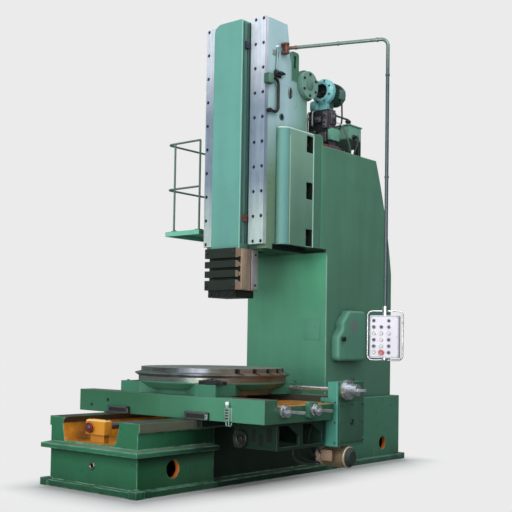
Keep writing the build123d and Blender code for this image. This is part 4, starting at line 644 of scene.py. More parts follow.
# Column covers: a cast side cover over the feed gearing with a black knob, and a flat sheet cover over
# the back opening with pressed louvres, held by screws all round.
rear_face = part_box("rear_cover")[1].y
rightward = (1, 0, 0)
cover_paint = enamel("cover_enamel", srgb(92, 150, 128), worn=srgb(158, 190, 178), edge=0.020, rough=0.34)
fade_zone(cover_paint, srgb(122, 128, 130), y=(1.02, 1.20), z=(1.53, 1.73), soft=0.07)
dress(cover_paint, "side_cover")
dress(enamel("rear_cover_enamel", green, edge=0.006), "rear_cover")


def plastic(name, colour, rough=0.4, bump=0.2):
    """A moulded plastic or rubber part with a fine grain and dulled patches."""
    material, tree, shader = new_material(name)
    spot = object_spot(tree)
    patch = noise(tree, spot, 18.0, 3.0)
    grain = {"Strength": bump, "Distance": 0.0004, "Height": noise(tree, spot, 600.0, 2.0)}
    fill(tree, shader.inputs, {
        "Base Color": shaded(tree, colour, ramp(tree, patch, 0.3, 0.7, 0.86, 1.14)),
        "Roughness": ramp(tree, patch, 0.3, 0.7, rough - 0.08, rough + 0.1),
        "Normal": node(tree, "ShaderNodeBump", grain).outputs[0],
    })
    return material


def add_plate(mesh, low, high, edge=0.002, seat=Matrix(), steps=2):
    """A plate or block between two corners of a frame, with every edge rounded over."""
    low, high = Vector(low), Vector(high)
    shape = seat @ Matrix.Translation((low + high) / 2) @ Matrix.Diagonal((*(high - low), 1.0))
    made = bmesh.ops.create_cube(mesh, size=1.0, matrix=shape)
    edges = list({line for point in made["verts"] for line in point.link_edges})
    bmesh.ops.bevel(mesh, geom=edges, offset=edge, affect="EDGES", segments=steps, profile=0.5, material=-1)


black_plastic = plastic("black_plastic", srgb(26, 27, 30), 0.25)
knob = bmesh.new()
neck = [(0.0, 0.0), (0.014, 0.0), (0.014, 0.014), (0.026, 0.018)]
cap = [(0.030, 0.026), (0.028, 0.036), (0.018, 0.042), (0, 0.043)]
add_turned(knob, neck + cap, at((0.693, 0.878, 1.480), rightward))
finish_piece(knob, "side_cover_knob", "frame", black_plastic)
cover_screws = bmesh.new()
edge_places = product((-0.475, 0.475), (0.90, 1.24, 1.58, 1.92, 2.25))
for x, z in (*edge_places, *product((-0.16, 0.16), (0.90, 2.25))):
    add_screw(cover_screws, at((x, rear_face, z), backward), 0.012, 0.009)
finish_piece(cover_screws, "cover_screws", "frame", black_steel)
louvres = bmesh.new()
for row, x in product(range(9), (-0.24, 0.24)):
    seat = at((x, rear_face, 1.98 - row * 0.045), backward)
    add_plate(louvres, (-0.15, -0.008, -0.004), (0.15, 0.014, 0.010), 0.006, seat, 3)
louvre_paint = enamel("louvre_enamel", green, wear=0.4, edge=0.003)
finish_piece(louvres, "rear_louvres", "frame", louvre_paint)

# Data plate: a blank enamelled plate on the front of the column, held by four drive screws.
# It is cut from thin sheet with square corners.
plate_back = 0.691
data_plate = bmesh.new()
add_plate(data_plate, (0.276, plate_back, 1.466), (0.506, plate_back + 0.0045, 1.706), 0.0015)
drive_head = [(0.006, 0.0), (0.0055, 0.002), (0.003, 0.003), (0, 0.0032)]
for x, z in product((0.288, 0.494), (1.478, 1.694)):
    add_turned(data_plate, drive_head, at((x, plate_back, z), frontward), 12)
plate_paint = enamel("plate_enamel", srgb(84, 146, 120), wear=0.2, rough=0.32, edge=0.002, bump=0.05)
finish_piece(data_plate, "blank_data_plate", "frame", plate_paint)

# Hydraulic unit on top of the column: a welded oil tank, a black iron valve block, a flange motor with a
# ribbed barrel, steel oil pipes, and a primer-red angle that they are bolted to.
motor_x, motor_z = 0.405, 4.392
motor_centre = Vector((motor_x, 0.0, motor_z))
valve_face = 0.832
tank_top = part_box("oil_tank")[1].z
tank_paint = enamel("tank_enamel", srgb(118, 170, 148), edge=0.006)
# Painted shade round the tank's bottom.
fade_zone(tank_paint, srgb(42, 62, 54), z=(-far, 3.94), soft=0.03)
dress(tank_paint, "oil_tank")
valve_iron = enamel("valve_iron", srgb(46, 46, 52), worn=srgb(120, 116, 122), wear=0.9, rough=0.45, edge=0.006)
lay_zone(valve_iron, srgb(92, 84, 94), 0.45, x=(0.4990, far), y=(0.80, far), soft=0.0005)
dress(valve_iron, "pump_block")
motor_teal = enamel("motor_teal", srgb(120, 184, 188), worn=srgb(190, 208, 208), wear=0.4, rough=0.3, edge=0.004)
lay_zone(motor_teal, srgb(56, 86, 76), 0.45, y=(0.876, far), z=(4.2, far), soft=0.002)
# Painted shade inside the bell's mouth.
lay_zone(motor_teal, srgb(40, 46, 48), 0.6, x=(0.322, 0.488), y=(0.791, 0.86), z=(4.31, 4.475), soft=0.003)
dress(motor_teal, "pump_motor")
pipe_steel = metal("oil_pipe_steel", srgb(176, 176, 170), 0.34, (40.0, 40.0, 6.0))
dress(pipe_steel, "oil_pipes")


def add_spread(mesh, count, centre, axis):
    """Repeats everything in a mesh evenly round an axis."""
    geom = mesh.verts[:] + mesh.edges[:] + mesh.faces[:]
    turn = 2 * math.pi * (count - 1) / count
    bmesh.ops.spin(mesh, geom=geom, cent=centre, axis=axis, angle=turn, steps=count - 1, use_duplicate=True)


def ring_places(centre, axis, radius, count, start=0.0):
    """Places spread evenly on a circle round the X or the Y axis of a centre."""
    arm = Vector((radius, 0.0, 0.0) if axis == "Y" else (0.0, radius, 0.0))
    angles = [math.radians(start + 360.0 * number / count) for number in range(count)]
    return [Vector(centre) + Matrix.Rotation(angle, 3, axis) @ arm for angle in angles]


fins = bmesh.new()
add_plate(fins, (-0.0025, 0.884, 0.116), (0.0025, 1.075, 0.138), 0.001, Matrix.Translation(motor_centre))
add_spread(fins, 28, motor_centre, backward)
fin_paint = enamel("fin_enamel", srgb(56, 86, 76), wear=0.4, edge=0.002)
finish_piece(fins, "pump_motor_fins", "frame", fin_paint)
cowl = bmesh.new()
drum = [(0.100, 0.0), (0.128, 0.0), (0.131, 0.004), (0.131, 0.046), (0.120, 0.058), (0.05, 0.062), (0, 0.062)]
add_turned(cowl, drum, at((motor_x, 1.068, motor_z), backward), 40)
add_plate(cowl, (0.505, 0.975, 4.320), (0.552, 1.075, 4.425), 0.016, steps=3)
add_plate(cowl, (0.550, 0.970, 4.315), (0.557, 1.080, 4.430), 0.003)
gland = [(0.016, 0.0), (0.016, 0.022), (0.011, 0.024), (0.011, 0.036), (0, 0.036)]
add_turned(cowl, gland, at((0.528, 1.045, 4.324), (0, 0, -1)), 16)
cowl_paint = enamel("cowl_enamel", srgb(78, 112, 106), wear=0.4, edge=0.004)
finish_piece(cowl, "pump_motor_cowl", "frame", cowl_paint)
guard = bmesh.new()
guard_seat = at((motor_x, 0.838, motor_z), frontward)
wire = 0.0035
for radius in (0.030, 0.052, 0.074):
    section = [(radius - wire, 0.0), (radius, wire), (radius + wire, 0.0), (radius, -wire), (radius - wire, 0.0)]
    add_turned(guard, section, guard_seat)
for turn in range(4):
    spoke = guard_seat @ Matrix.Rotation(math.radians(45.0 * turn), 4, "Z")
    add_plate(guard, (-0.085, -0.003, -0.006), (0.085, 0.003, -0.001), 0.001, spoke)
add_turned(guard, [(0.022, -0.006), (0.022, 0.006), (0.016, 0.012), (0, 0.014)], guard_seat, 24)
finish_piece(guard, "pump_motor_guard", "frame", black_steel)
pump_foot = bmesh.new()
add_plate(pump_foot, (0.225, 0.800, 4.172), (0.350, 0.905, 4.300), 0.032, steps=4)
boss = [(0.034, -0.02), (0.034, 0.010), (0.026, 0.016), (0, 0.018)]
add_turned(pump_foot, boss, at((0.285, 0.802, 4.235), frontward), 24)
finish_piece(pump_foot, "pump_suction_elbow", "frame", motor_teal)
bell_bolts = bmesh.new()
for place in ring_places((motor_x, 0.790, motor_z), "Y", 0.128, 8, 22.5):
    add_hex(bell_bolts, at(place, frontward), 0.016, 0.009)
finish_piece(bell_bolts, "pump_motor_bolts", "frame", black_steel)

valves = bmesh.new()
for low, high, edge in (
    ((0.215, 0.780, 3.80), (0.330, valve_face, 3.93), 0.006),
    ((0.365, 0.788, 3.78), (0.485, valve_face, 3.90), 0.006),
    ((0.230, 0.792, 4.00), (0.300, valve_face, 4.12), 0.005),
    ((0.498, 0.838, 4.00), (0.530, 0.940, 4.14), 0.005),
    ((0.340, 0.770, 4.02), (0.420, valve_face, 4.09), 0.010),
    ((0.432, 0.785, 3.95), (0.498, valve_face, 4.15), 0.008),
):
    add_plate(valves, low, high, edge)
for x, z, r in ((0.272, 3.865, 0.034), (0.425, 3.84, 0.030), (0.265, 4.06, 0.022)):
    cap = [(r, 0.0), (r, 0.02), (r * 0.8, 0.028), (r * 0.5, 0.032), (0, 0.034)]
    add_turned(valves, cap, at((x, 0.79, z), frontward), 24)
side_cap = [(0.028, 0.0), (0.028, 0.02), (0.02, 0.03), (0, 0.034)]
add_turned(valves, side_cap, at((0.529, 0.875, 4.075), rightward), 24)
for z in (3.985, 4.03, 4.11):
    adjuster = [(0.020, 0.0), (0.020, 0.018), (0.015, 0.026), (0, 0.030)]
    add_turned(valves, adjuster, at((0.466, 0.787, z), frontward), 20)
relief_cap = [(0.024, 0.0), (0.024, 0.03), (0.018, 0.04), (0, 0.044)]
add_turned(valves, relief_cap, at((0.380, 0.772, 4.055), frontward), 20)
valve_paint = enamel("valve_paint", srgb(70, 66, 72), worn=srgb(178, 168, 176), wear=1.0, rough=0.36, edge=0.006)
finish_piece(valves, "pump_valves", "frame", valve_paint)
valve_box = bmesh.new()
add_plate(valve_box, (0.498, 0.802, 3.805), (0.556, 0.955, 3.935), 0.008)
add_plate(valve_box, (0.555, 0.796, 3.800), (0.562, 0.961, 3.940), 0.003)
valve_box_paint = enamel("valve_box_enamel", srgb(104, 160, 138), wear=0.4, edge=0.003)
finish_piece(valve_box, "valve_junction_box", "frame", valve_box_paint)


def add_tube(mesh, radius, *points):
    """A bent tube along a smooth spline whose control points are given."""
    curve = bpy.data.curves.new("tube_line", "CURVE")
    curve.dimensions = "3D"
    curve.bevel_depth = radius
    curve.bevel_resolution = 3
    curve.resolution_u = 8
    curve.use_fill_caps = True
    line = curve.splines.new("NURBS")
    line.points.add(len(points) - 1)
    for point, place in zip(line.points, points):
        point.co = (*place, 1.0)
    line.order_u = 3
    line.use_endpoint_u = True
    holder = bpy.data.objects.new("tube_line", curve)
    data = bpy.data.meshes.new_from_object(holder)
    mesh.from_mesh(data)
    bpy.data.objects.remove(holder)
    bpy.data.curves.remove(curve)
    bpy.data.meshes.remove(data)


pipes = bmesh.new()
add_tube(
    pipes, 0.010, (0.31, 0.79, 3.98), (0.31, 0.755, 3.98), (0.31, 0.755, 4.06), (0.31, 0.755, 4.15),
    (0.31, 0.80, 4.17), (0.31, 0.835, 4.17),
)
add_tube(
    pipes, 0.009, (0.215, 0.835, 4.17), (0.207, 0.805, 4.17), (0.207, 0.800, 4.10), (0.207, 0.800, 3.95),
    (0.207, 0.810, 3.82), (0.215, 0.840, 3.80),
)
add_tube(
    pipes, 0.009, (0.490, 0.98, 4.05), (0.540, 1.02, 4.03), (0.560, 1.065, 3.960), (0.565, 1.140, 3.840),
    (0.560, 1.205, 3.745), (0.540, 1.225, 3.692),
)
finish_piece(pipes, "valve_pipes", "frame", pipe_steel)
conduits = bmesh.new()
add_tube(
    conduits, 0.010, (0.528, 1.045, 4.294), (0.528, 1.05, 4.20), (0.525, 1.06, 4.08), (0.50, 1.06, 4.00),
    (0.46, 1.05, 3.90), (0.44, 1.05, 3.695),
)
add_tube(
    conduits, 0.015, (0.452, 1.42, 3.95), (0.52, 1.40, 3.95), (0.55, 1.36, 3.90), (0.56, 1.33, 3.82),
    (0.55, 1.31, 3.75), (0.53, 1.31, 3.692),
)
finish_piece(conduits, "motor_conduits", "frame", plastic("conduit_rubber", srgb(34, 36, 38), 0.5))

tank_fittings = bmesh.new()
neck = [(0.05, 0.0), (0.05, 0.006), (0.022, 0.010), (0.022, 0.03)]
cap = [(0.034, 0.036), (0.036, 0.052), (0.026, 0.060), (0, 0.062)]
add_turned(tank_fittings, neck + cap, at((0.395, 1.375, tank_top), upward))
for x, y in product((0.085, 0.425), (1.336, 1.556)):
    add_hex(tank_fittings, at((x, y, tank_top), upward), 0.014, 0.008)
union = [(0.03, 0.0), (0.03, 0.012), (0.02, 0.02), (0.02, 0.05), (0.012, 0.056), (0, 0.056)]
add_turned(tank_fittings, union, at((0.450, 1.42, 3.95), rightward), 24)
finish_piece(tank_fittings, "tank_fittings", "frame", black_steel)
sight = bmesh.new()
add_plate(sight, (0.230, 1.579, 3.885), (0.260, 1.586, 4.055), 0.003)
finish_piece(sight, "tank_oil_sight", "frame", plastic("sight_glass", srgb(150, 120, 60), 0.2, 0.02))
angle_frame = bmesh.new()
add_plate(angle_frame, (0.515, 0.700, 3.691), (0.572, 1.050, 3.702))
add_plate(angle_frame, (0.515, 0.700, 3.700), (0.524, 1.050, 3.742))
add_plate(angle_frame, (0.180, 0.700, 3.691), (0.515, 0.752, 3.702))
add_plate(angle_frame, (0.180, 0.700, 3.700), (0.515, 0.709, 3.742))
primer_red = enamel("red_primer", srgb(122, 68, 56), worn=srgb(90, 80, 72), wear=0.6, rough=0.6, edge=0.003)
finish_piece(angle_frame, "unit_angle_frame", "frame", primer_red)

# Service platform: a chequer-plate deck on two gussets bolted to the column's left side, with a guard
# rail of bent tube, its posts welded to small base plates.
deck_low, deck_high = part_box("service_platform")
deck_top = deck_high.z
chequer_x, chequer_y, chequer_pitch = -1.085, -0.13, 0.062
post_places = ((-0.601, -0.188), (-1.007, -0.188), (-1.127, 0.650), (-1.127, 1.368), (-0.601, 1.488))
foot_half, foot_thick = 0.035, 0.008
deck_paint = enamel("platform_enamel", srgb(116, 190, 164), edge=0.004, wear=0.7)
dress(deck_paint, "service_platform")
rail_paint = enamel("rail_enamel", srgb(86, 112, 102), worn=srgb(150, 160, 154), wear=0.5, rough=0.4, edge=0.003)
dress(rail_paint, "guard_rail")
chequer = bmesh.new()
for column, row in product(range(8), range(26)):
    place = (chequer_x + column * chequer_pitch, chequer_y + row * chequer_pitch, deck_top)
    lean = Matrix.Rotation(math.radians(45.0 if (row + column) % 2 else -45.0), 4, "Z")
    seat = Matrix.Translation(place) @ lean @ Matrix.Diagonal((1.0, 0.32, 1.0, 1.0))
    bmesh.ops.create_cone(
        chequer, cap_ends=True, segments=6, radius1=0.021, radius2=0.012, depth=0.005, matrix=seat
    )
finish_piece(chequer, "deck_chequers", "frame", deck_paint, 20.0)
post_feet = bmesh.new()
for x, y in post_places:
    x = min(max(x, deck_low.x + foot_half), deck_high.x - foot_half)
    y = min(max(y, deck_low.y + foot_half), deck_high.y - foot_half)
    foot_top = deck_top + foot_thick
    add_plate(post_feet, (x - foot_half, y - foot_half, deck_top), (x + foot_half, y + foot_half, foot_top))
    for shift in (-0.022, 0.022):
        add_hex(post_feet, at((x + shift, y - shift, foot_top), upward), 0.013, 0.008)
finish_piece(post_feet, "rail_post_feet", "frame", rail_paint)
gusset_bolts = bmesh.new()
for y, z in product((0.735, 1.460), (2.30, 2.45, 2.60)):
    add_hex(gusset_bolts, at((-0.607, y, z), (-1, 0, 0)), 0.024, 0.014)
finish_piece(gusset_bolts, "platform_bolts", "frame", black_steel)

# Tilting head: the tall casting that guides the ram, enamelled, with ground steel gib plates screwed to
# its front and round hub covers on its sides. The arm bracket is painted red-brown.
head_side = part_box("gib_right")[1].x
hub_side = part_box("hub_covers")[1].x
hub_y, hub_z = 0.455, 4.375
gib_seat, gib_top, gib_pitch = -0.262, 4.966, 0.2715
# Painted reflection: the head is a pale blue-grey, as if mirroring a bright sky, fading to darker greens lower down
# and towards the back.
head_paint = enamel("head_enamel", srgb(166, 198, 204), edge=0.010, rough=0.32)
fade_zone(head_paint, srgb(112, 142, 116), z=(-far, 3.95), soft=0.7)
fade_zone(head_paint, srgb(104, 152, 132), y=(0.10, far), soft=0.40)
fade_zone(head_paint, srgb(74, 124, 100), y=(0.17, far), z=(4.36, far), soft=0.03)
# Painted shade: the head's underside is near black.
fade_zone(head_paint, srgb(8, 20, 15), z=(-far, 2.449))
fade_zone(head_paint, srgb(10, 24, 18), y=(-0.12, far), z=(-far, 2.507), soft=0.004)
lay_zone(head_paint, srgb(96, 62, 52), 0.5, x=(0.4345, far), y=(-0.08, 0.13), z=(4.61, 4.78), soft=0.002)
dress(head_paint, "ram_head")
dress(enamel("hub_cover_enamel", srgb(118, 158, 144), edge=0.006), "hub_covers")
# Painted reflection: the gibs are pale blue-white at the top, darker in the middle and lighter again low down.
gib_steel = metal("gib_steel", srgb(236, 242, 254), 0.36, (60.0, 60.0, 1.5), metallic=0.4, edge=0.003)
fade_zone(gib_steel, srgb(150, 166, 184), z=(-far, 4.60), soft=0.6)
fade_zone(gib_steel, srgb(206, 224, 220), z=(-far, 3.20), soft=0.5)
dress(gib_steel, "gib_left", "gib_right")
gib_screws = bmesh.new()
for row, x in product(range(10), (-0.404, -0.292, 0.292, 0.404)):
    add_screw(gib_screws, at((x, gib_seat, gib_top - row * gib_pitch), frontward), 0.0185, 0.013)
dark_screw = metal("blued_screw_steel", srgb(30, 34, 54), 0.4, metallic=0.4)
finish_piece(gib_screws, "gib_screws", "head", dark_screw)
hub_bolts, hub_rims = bmesh.new(), bmesh.new()
for side in sides:
    outward = (side, 0, 0)
    rim = [(0.156, 0.0), (0.163, 0.0), (0.163, 0.006), (0.156, 0.008)]
    add_turned(hub_rims, rim, at((side * head_side, hub_y, hub_z), outward), 48)
    cap = [(0.06, 0.0), (0.06, 0.006), (0.05, 0.012), (0, 0.014)]
    add_turned(hub_rims, cap, at((side * hub_side, hub_y, hub_z), outward))
    for place in ring_places((side * hub_side, hub_y, hub_z), "X", 0.122, 6, 30.0):
        add_screw(hub_bolts, at(place, outward), 0.015, 0.011)
finish_piece(hub_bolts, "hub_cover_screws", "head", black_steel)
hub_rim_paint = enamel("hub_rim_enamel", srgb(92, 132, 120), edge=0.003)
finish_piece(hub_rims, "hub_cover_rims", "head", hub_rim_paint)

# Head fittings: an oval oil sight, a cored port with a steel ring, a black solenoid valve, the limit-switch
# box with its hose, a grease nipple with its line, and the small blank plate by the arm.
oil_sight = bmesh.new()
bezel = [(0.034, 0.0), (0.034, 0.006), (0.028, 0.012), (0.022, 0.012), (0.020, 0.004), (0, 0.004)]
oval = Matrix.Diagonal((1.0, 1.9, 1.0, 1.0))
add_turned(oil_sight, bezel, at((head_side, 0.162, 4.229), rightward) @ oval, 40)
finish_piece(oil_sight, "head_oil_sight", "head", metal("sight_rim", srgb(120, 136, 132), 0.35))
sight_glass = bmesh.new()
add_plate(sight_glass, (0.436, 0.154, 4.196), (0.441, 0.170, 4.262), 0.0024)
finish_piece(sight_glass, "head_sight_glass", "head", black_plastic)
port_seat = at((head_side, 0.015, 3.928), rightward)
port = bmesh.new()
ring = [(0.022, -0.002), (0.022, 0.006), (0.036, 0.006), (0.040, 0.002), (0.040, 0.0)]
add_turned(port, ring, port_seat)
port_steel = metal("port_steel", srgb(84, 100, 98), 0.4, metallic=0.5)
finish_piece(port, "head_port_ring", "head", port_steel)
port_plug = bmesh.new()
add_turned(port_plug, [(0.0225, 0.003), (0.010, 0.002), (0.009, 0.001), (0, 0.001)], port_seat, 24)
finish_piece(port_plug, "head_port_plug", "head", black_plastic)
solenoid = bmesh.new()
can = [(0.0, 0.0), (0.024, 0.0), (0.028, 0.004), (0.028, 0.100), (0.024, 0.106), (0.024, 0.124)]
stem = [(0.014, 0.130), (0.014, 0.160), (0.0, 0.162)]
add_turned(solenoid, can + stem, at((0.466, -0.140, 4.385), (0, 1, 0.12)), 28)
add_plate(solenoid, (0.434, -0.12, 4.35), (0.450, -0.02, 4.43), 0.003)
finish_piece(solenoid, "head_solenoid", "head", black_plastic)
dress(enamel("switch_box_enamel", srgb(52, 96, 80), worn=srgb(150, 170, 160), wear=0.5, edge=0.004), "switch_box")
switch_lid = bmesh.new()
lid_face = 0.497
add_plate(switch_lid, (0.491, -0.294, 4.248), (lid_face, -0.210, 4.346))
lid_screw = [(0.005, 0.0), (0.005, 0.003), (0, 0.004)]
for y, z in product((-0.284, -0.220), (4.258, 4.336)):
    add_turned(switch_lid, lid_screw, at((lid_face, y, z), rightward), 12)
lid_paint = enamel("switch_lid_enamel", srgb(96, 136, 120), wear=0.3, edge=0.002, bump=0.05)
finish_piece(switch_lid, "switch_box_lid", "head", lid_paint)
dress(plastic("hose_rubber_black", srgb(16, 22, 20), 0.55), "head_hose")
grease_line = bmesh.new()
add_tube(
    grease_line, 0.007, (0.446, -0.084, 4.68), (0.448, -0.088, 4.62), (0.446, -0.096, 4.54), (0.446, -0.100, 4.44)
)
grease_paint = enamel("grease_line_enamel", srgb(150, 186, 182), edge=0.002)
finish_piece(grease_line, "head_grease_line", "head", grease_paint)
nipple = bmesh.new()
spout = [(0.018, 0.0), (0.018, 0.008), (0.012, 0.012), (0.012, 0.026), (0.008, 0.031), (0, 0.032)]
add_turned(nipple, spout, at((head_side, -0.084, 4.690), rightward), 16)
nipple_zinc = metal("nipple_zinc", srgb(226, 228, 228), 0.3, metallic=0.6)
finish_piece(nipple, "head_grease_nipple", "head", nipple_zinc)
head_plate = bmesh.new()
add_plate(head_plate, (0.433, -0.16, 4.585), (0.437, -0.05, 4.650), 0.001)
plate_aluminium = metal("plate_aluminium", srgb(150, 168, 172), 0.4, metallic=0.5)
finish_piece(head_plate, "head_blank_plate", "head", plate_aluminium)
dress(metal("cylinder_steel", srgb(150, 150, 148), 0.35), "ram_cylinder")
dress(metal("trunnion_steel", srgb(140, 140, 138), 0.35), "trunnion_pins")

# Ram: a cast slide between the gibs, enamelled in lighter teal with rubbed edges, and two flat strips down
# its right side that carry the trip dogs.
ram_paint = enamel("ram_enamel", srgb(98, 157, 146), worn=srgb(196, 208, 204), wear=0.6, rough=0.36, edge=0.006)
lay_zone(ram_paint, srgb(58, 88, 74), 0.42, x=(0.2055, far), y=(-0.404, -0.2))
# Painted highlight: a light line down the ram's front right edge.
lay_zone(ram_paint, srgb(138, 190, 176), 0.4, x=(0.194, 0.214), y=(-0.412, -0.392), soft=0.006)
dress(ram_paint, "ram")
dog_bar = bmesh.new()
for y in (-0.384, -0.318):
    add_plate(dog_bar, (0.2055, y, 2.50), (0.218, y + 0.014, 4.93))
dog_bar_paint = enamel("dog_bar_enamel", srgb(62, 92, 84), wear=0.6, edge=0.002)
finish_piece(dog_bar, "trip_dog_bar", "ram", dog_bar_paint)
dog_paint = enamel("dog_navy", srgb(36, 40, 62), wear=0.6, edge=0.003)
fade_zone(dog_paint, srgb(104, 46, 40), z=(-far, 3.6), soft=0.01)
dress(dog_paint, "trip_dogs")
dress(metal("rod_chrome", srgb(210, 212, 214), 0.2), "piston_rod")

# Tool head: a black-oxide block on the ram's foot with three T-slots across its face, side plates of
# bare steel that pass before and behind the gibs, and a clamp plate under it, all held by cap screws.
tool_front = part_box("tool_head")[0].y
clamp_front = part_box("tool_clamp")[0].y
plate_inner, plate_outer, plate_low, plate_high = 0.226, 0.238, 2.000, 2.432
tool_iron = enamel("tool_black", srgb(34, 44, 38), worn=srgb(96, 104, 94), wear=0.9, rough=0.4, edge=0.006)
bare_side = ground_look(tool_iron, srgb(186, 160, 138), (6.0, 40.0, 6.0), 0.42)
for face in ((-0.24, -0.2255), (0.2255, 0.24)):
    lay_zone(tool_iron, *bare_side, 0.5, x=face, soft=0.0003)
lay_zone(tool_iron, srgb(30, 28, 26), 0.6, y=(-0.229, -0.219), soft=0.0003)
dress(tool_iron, "tool_head")
clamp_black = enamel("clamp_black", srgb(24, 30, 26), worn=srgb(84, 84, 76), wear=0.7, rough=0.42, edge=0.006)
dress(clamp_black, "tool_clamp")
side_plates = bmesh.new()
for side, (front, back) in product(sides, ((-0.394, -0.288), (-0.220, -0.114))):
    inner, outer = sorted((side * plate_inner, side * plate_outer))
    add_plate(side_plates, (inner, front, plate_low), (outer, back, plate_high), 0.003)
side_steel = metal("side_plate_steel", srgb(186, 164, 144), 0.42, (6.0, 40.0, 6.0), 0.5)
fade_zone(side_steel, srgb(172, 172, 174), y=(-0.26, far), soft=0.02)
finish_piece(side_plates, "tool_side_plates", "ram", side_steel)
tool_screws = bmesh.new()
for side, z in product(sides, (2.05, 2.385)):
    add_screw(tool_screws, at((side * plate_outer, -0.165, z), (side, 0, 0)), 0.013, 0.009)
for x in (-0.16, -0.055, 0.055, 0.16):
    add_screw(tool_screws, at((x, clamp_front, 1.948), frontward), 0.014, 0.012)
for x, z in product((-0.195, 0.195), (2.032, 2.399)):
    add_screw(tool_screws, at((x, tool_front, z), frontward), 0.014, 0.012)
cap_screw_steel = metal("cap_screw_steel", srgb(62, 62, 64), 0.35, metallic=0.6)
finish_piece(tool_screws, "tool_head_screws", "ram", cap_screw_steel)

# Saddle: a wide cast slide across the bed, enamelled, its two cross ways ground bare and the channel
# between them left in yellow primer. Plugs close the oil drillings in its front.
saddle_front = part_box("saddle")[0].y
cross_run = (-1.0915, 1.4725)
way_top = 0.8935
saddle_paint = enamel("saddle_enamel", srgb(78, 142, 113), edge=0.012, rough=0.34)
# Painted shade: the saddle darkens towards its left end, its lowest parts among the bed's ways are near black and
# its right end face is darker.
fade_zone(saddle_paint, srgb(52, 108, 78), x=(-far, 0.70), z=(0.0, far), soft=0.9)
fade_zone(saddle_paint, srgb(16, 38, 28), z=(-far, 0.674))
fade_zone(saddle_paint, srgb(56, 102, 78), x=(1.4715, far))
channel_primer = stained(saddle_paint, 3.0, 0.42, 0.62, srgb(200, 136, 56), srgb(138, 96, 52))
cross_steel = ground_look(saddle_paint, srgb(138, 134, 128), (2.0, 60.0, 60.0), 0.34)
lay_zone(saddle_paint, *cross_steel, 0.8, z=(way_top, far))
lay_zone(saddle_paint, channel_primer, 0.5, x=cross_run, y=(-1.2905, -0.3015), z=(0.70, way_top))
lay_zone(saddle_paint, srgb(58, 58, 52), 0.5, x=cross_run, y=(-0.3060, -0.2000), z=(0.8285, way_top))
dress(saddle_paint, "saddle")
plugs = bmesh.new()
for x, z in ((-0.645, 0.801), (-0.90, 0.74)):
    add_hex(plugs, at((x, saddle_front, z), frontward), 0.022, 0.012)
finish_piece(plugs, "saddle_plugs", "saddle", black_steel)

# Way wipers: black rubber blades in steel frames, screwed to the saddle's ends where it meets the ways.
# Each frame is four strips of flat bar round its blade.
wiper_low, wiper_high = 0.674, 0.7455
dress(plastic("wiper_rubber_black", srgb(28, 28, 30), 0.6), "way_wipers")
wiper_frames, wiper_screws = bmesh.new(), bmesh.new()
wiper_ends = ((-1.507, -1.500, -1.507, frontward), (-0.092, -0.085, -0.085, backward))
for x, (front, back, face, outward) in product((-0.456, 0.646), wiper_ends):
    for start, end, low, high in (
        (-0.150, 0.150, 0.728, wiper_high),
        (-0.150, 0.150, wiper_low, 0.686),
        (-0.150, -0.134, wiper_low, wiper_high),
        (0.118, 0.150, wiper_low, wiper_high),
    ):
        add_plate(wiper_frames, (x + start, front, low), (x + end, back, high))
    for shift in (-0.142, 0.134):
        add_screw(wiper_screws, at((x + shift, face, 0.71), outward), 0.006, 0.004)
frame_steel = metal("wiper_frame_steel", srgb(96, 102, 100), 0.4, metallic=0.6)
fade_zone(frame_steel, srgb(172, 190, 182), x=(0.763, far), y=(-far, -1.4))
finish_piece(wiper_frames, "wiper_frames", "saddle", frame_steel)
finish_piece(wiper_screws, "wiper_screws", "saddle", black_steel)

# Lubricator: a small oil distributor screwed to the saddle's front, with a white filler cap, a row of
# dark sight windows down its pale block, and two outlet pipes that turn in under the saddle.
filler_x, filler_y = 1.036, -1.492
oiler = bmesh.new()
add_plate(oiler, (1.000, -1.482, 0.678), (1.086, -1.475, 0.808))
add_plate(oiler, (1.012, -1.506, 0.686), (1.074, -1.480, 0.806), 0.005)
for x in (1.026, 1.058):
    outlet = ((-1.493, 0.690), (-1.493, 0.655), (-1.488, 0.636), (-1.462, 0.636), (-1.454, 0.652), (-1.454, 0.674))
    add_tube(oiler, 0.007, *[(x, y, z) for y, z in outlet])
filler_neck = [(0.020, 0.0), (0.020, 0.024), (0.016, 0.028), (0, 0.028)]
add_turned(oiler, filler_neck, at((filler_x, filler_y, 0.806), upward), 24)
oiler_steel = metal("lubricator_steel", srgb(136, 170, 156), 0.4, metallic=0.4)
finish_piece(oiler, "lubricator_body", "saddle", oiler_steel)
window = bmesh.new()
for z in (0.702, 0.728, 0.754, 0.780):
    add_plate(window, (1.022, -1.508, z), (1.064, -1.500, z + 0.012))
dark_window = plastic("dark_window", srgb(30, 34, 34), 0.15, 0.02)
finish_piece(window, "lubricator_window", "saddle", dark_window)
filler_cap = bmesh.new()
cap = [(0.0, 0.0), (0.017, 0.0), (0.019, 0.003), (0.019, 0.024), (0.014, 0.030), (0, 0.031)]
add_turned(filler_cap, cap, at((filler_x, filler_y, 0.832), upward), 28)
white_cap = plastic("white_cap", srgb(236, 238, 236), 0.4, 0.05)
finish_piece(filler_cap, "lubricator_cap", "saddle", white_cap)

# Apron: a ribbed iron bracket under the saddle's right wing that carries the feed shaft, painted a dark green
# that holds painted shade from the saddle above, with a bolted bearing flange of bare steel.
flange_x, flange_z = 0.970, 0.497
apron_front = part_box("apron_bracket")[0].y
apron_paint = enamel("apron_enamel", srgb(24, 48, 36), worn=srgb(70, 104, 86), wear=0.8, edge=0.010)
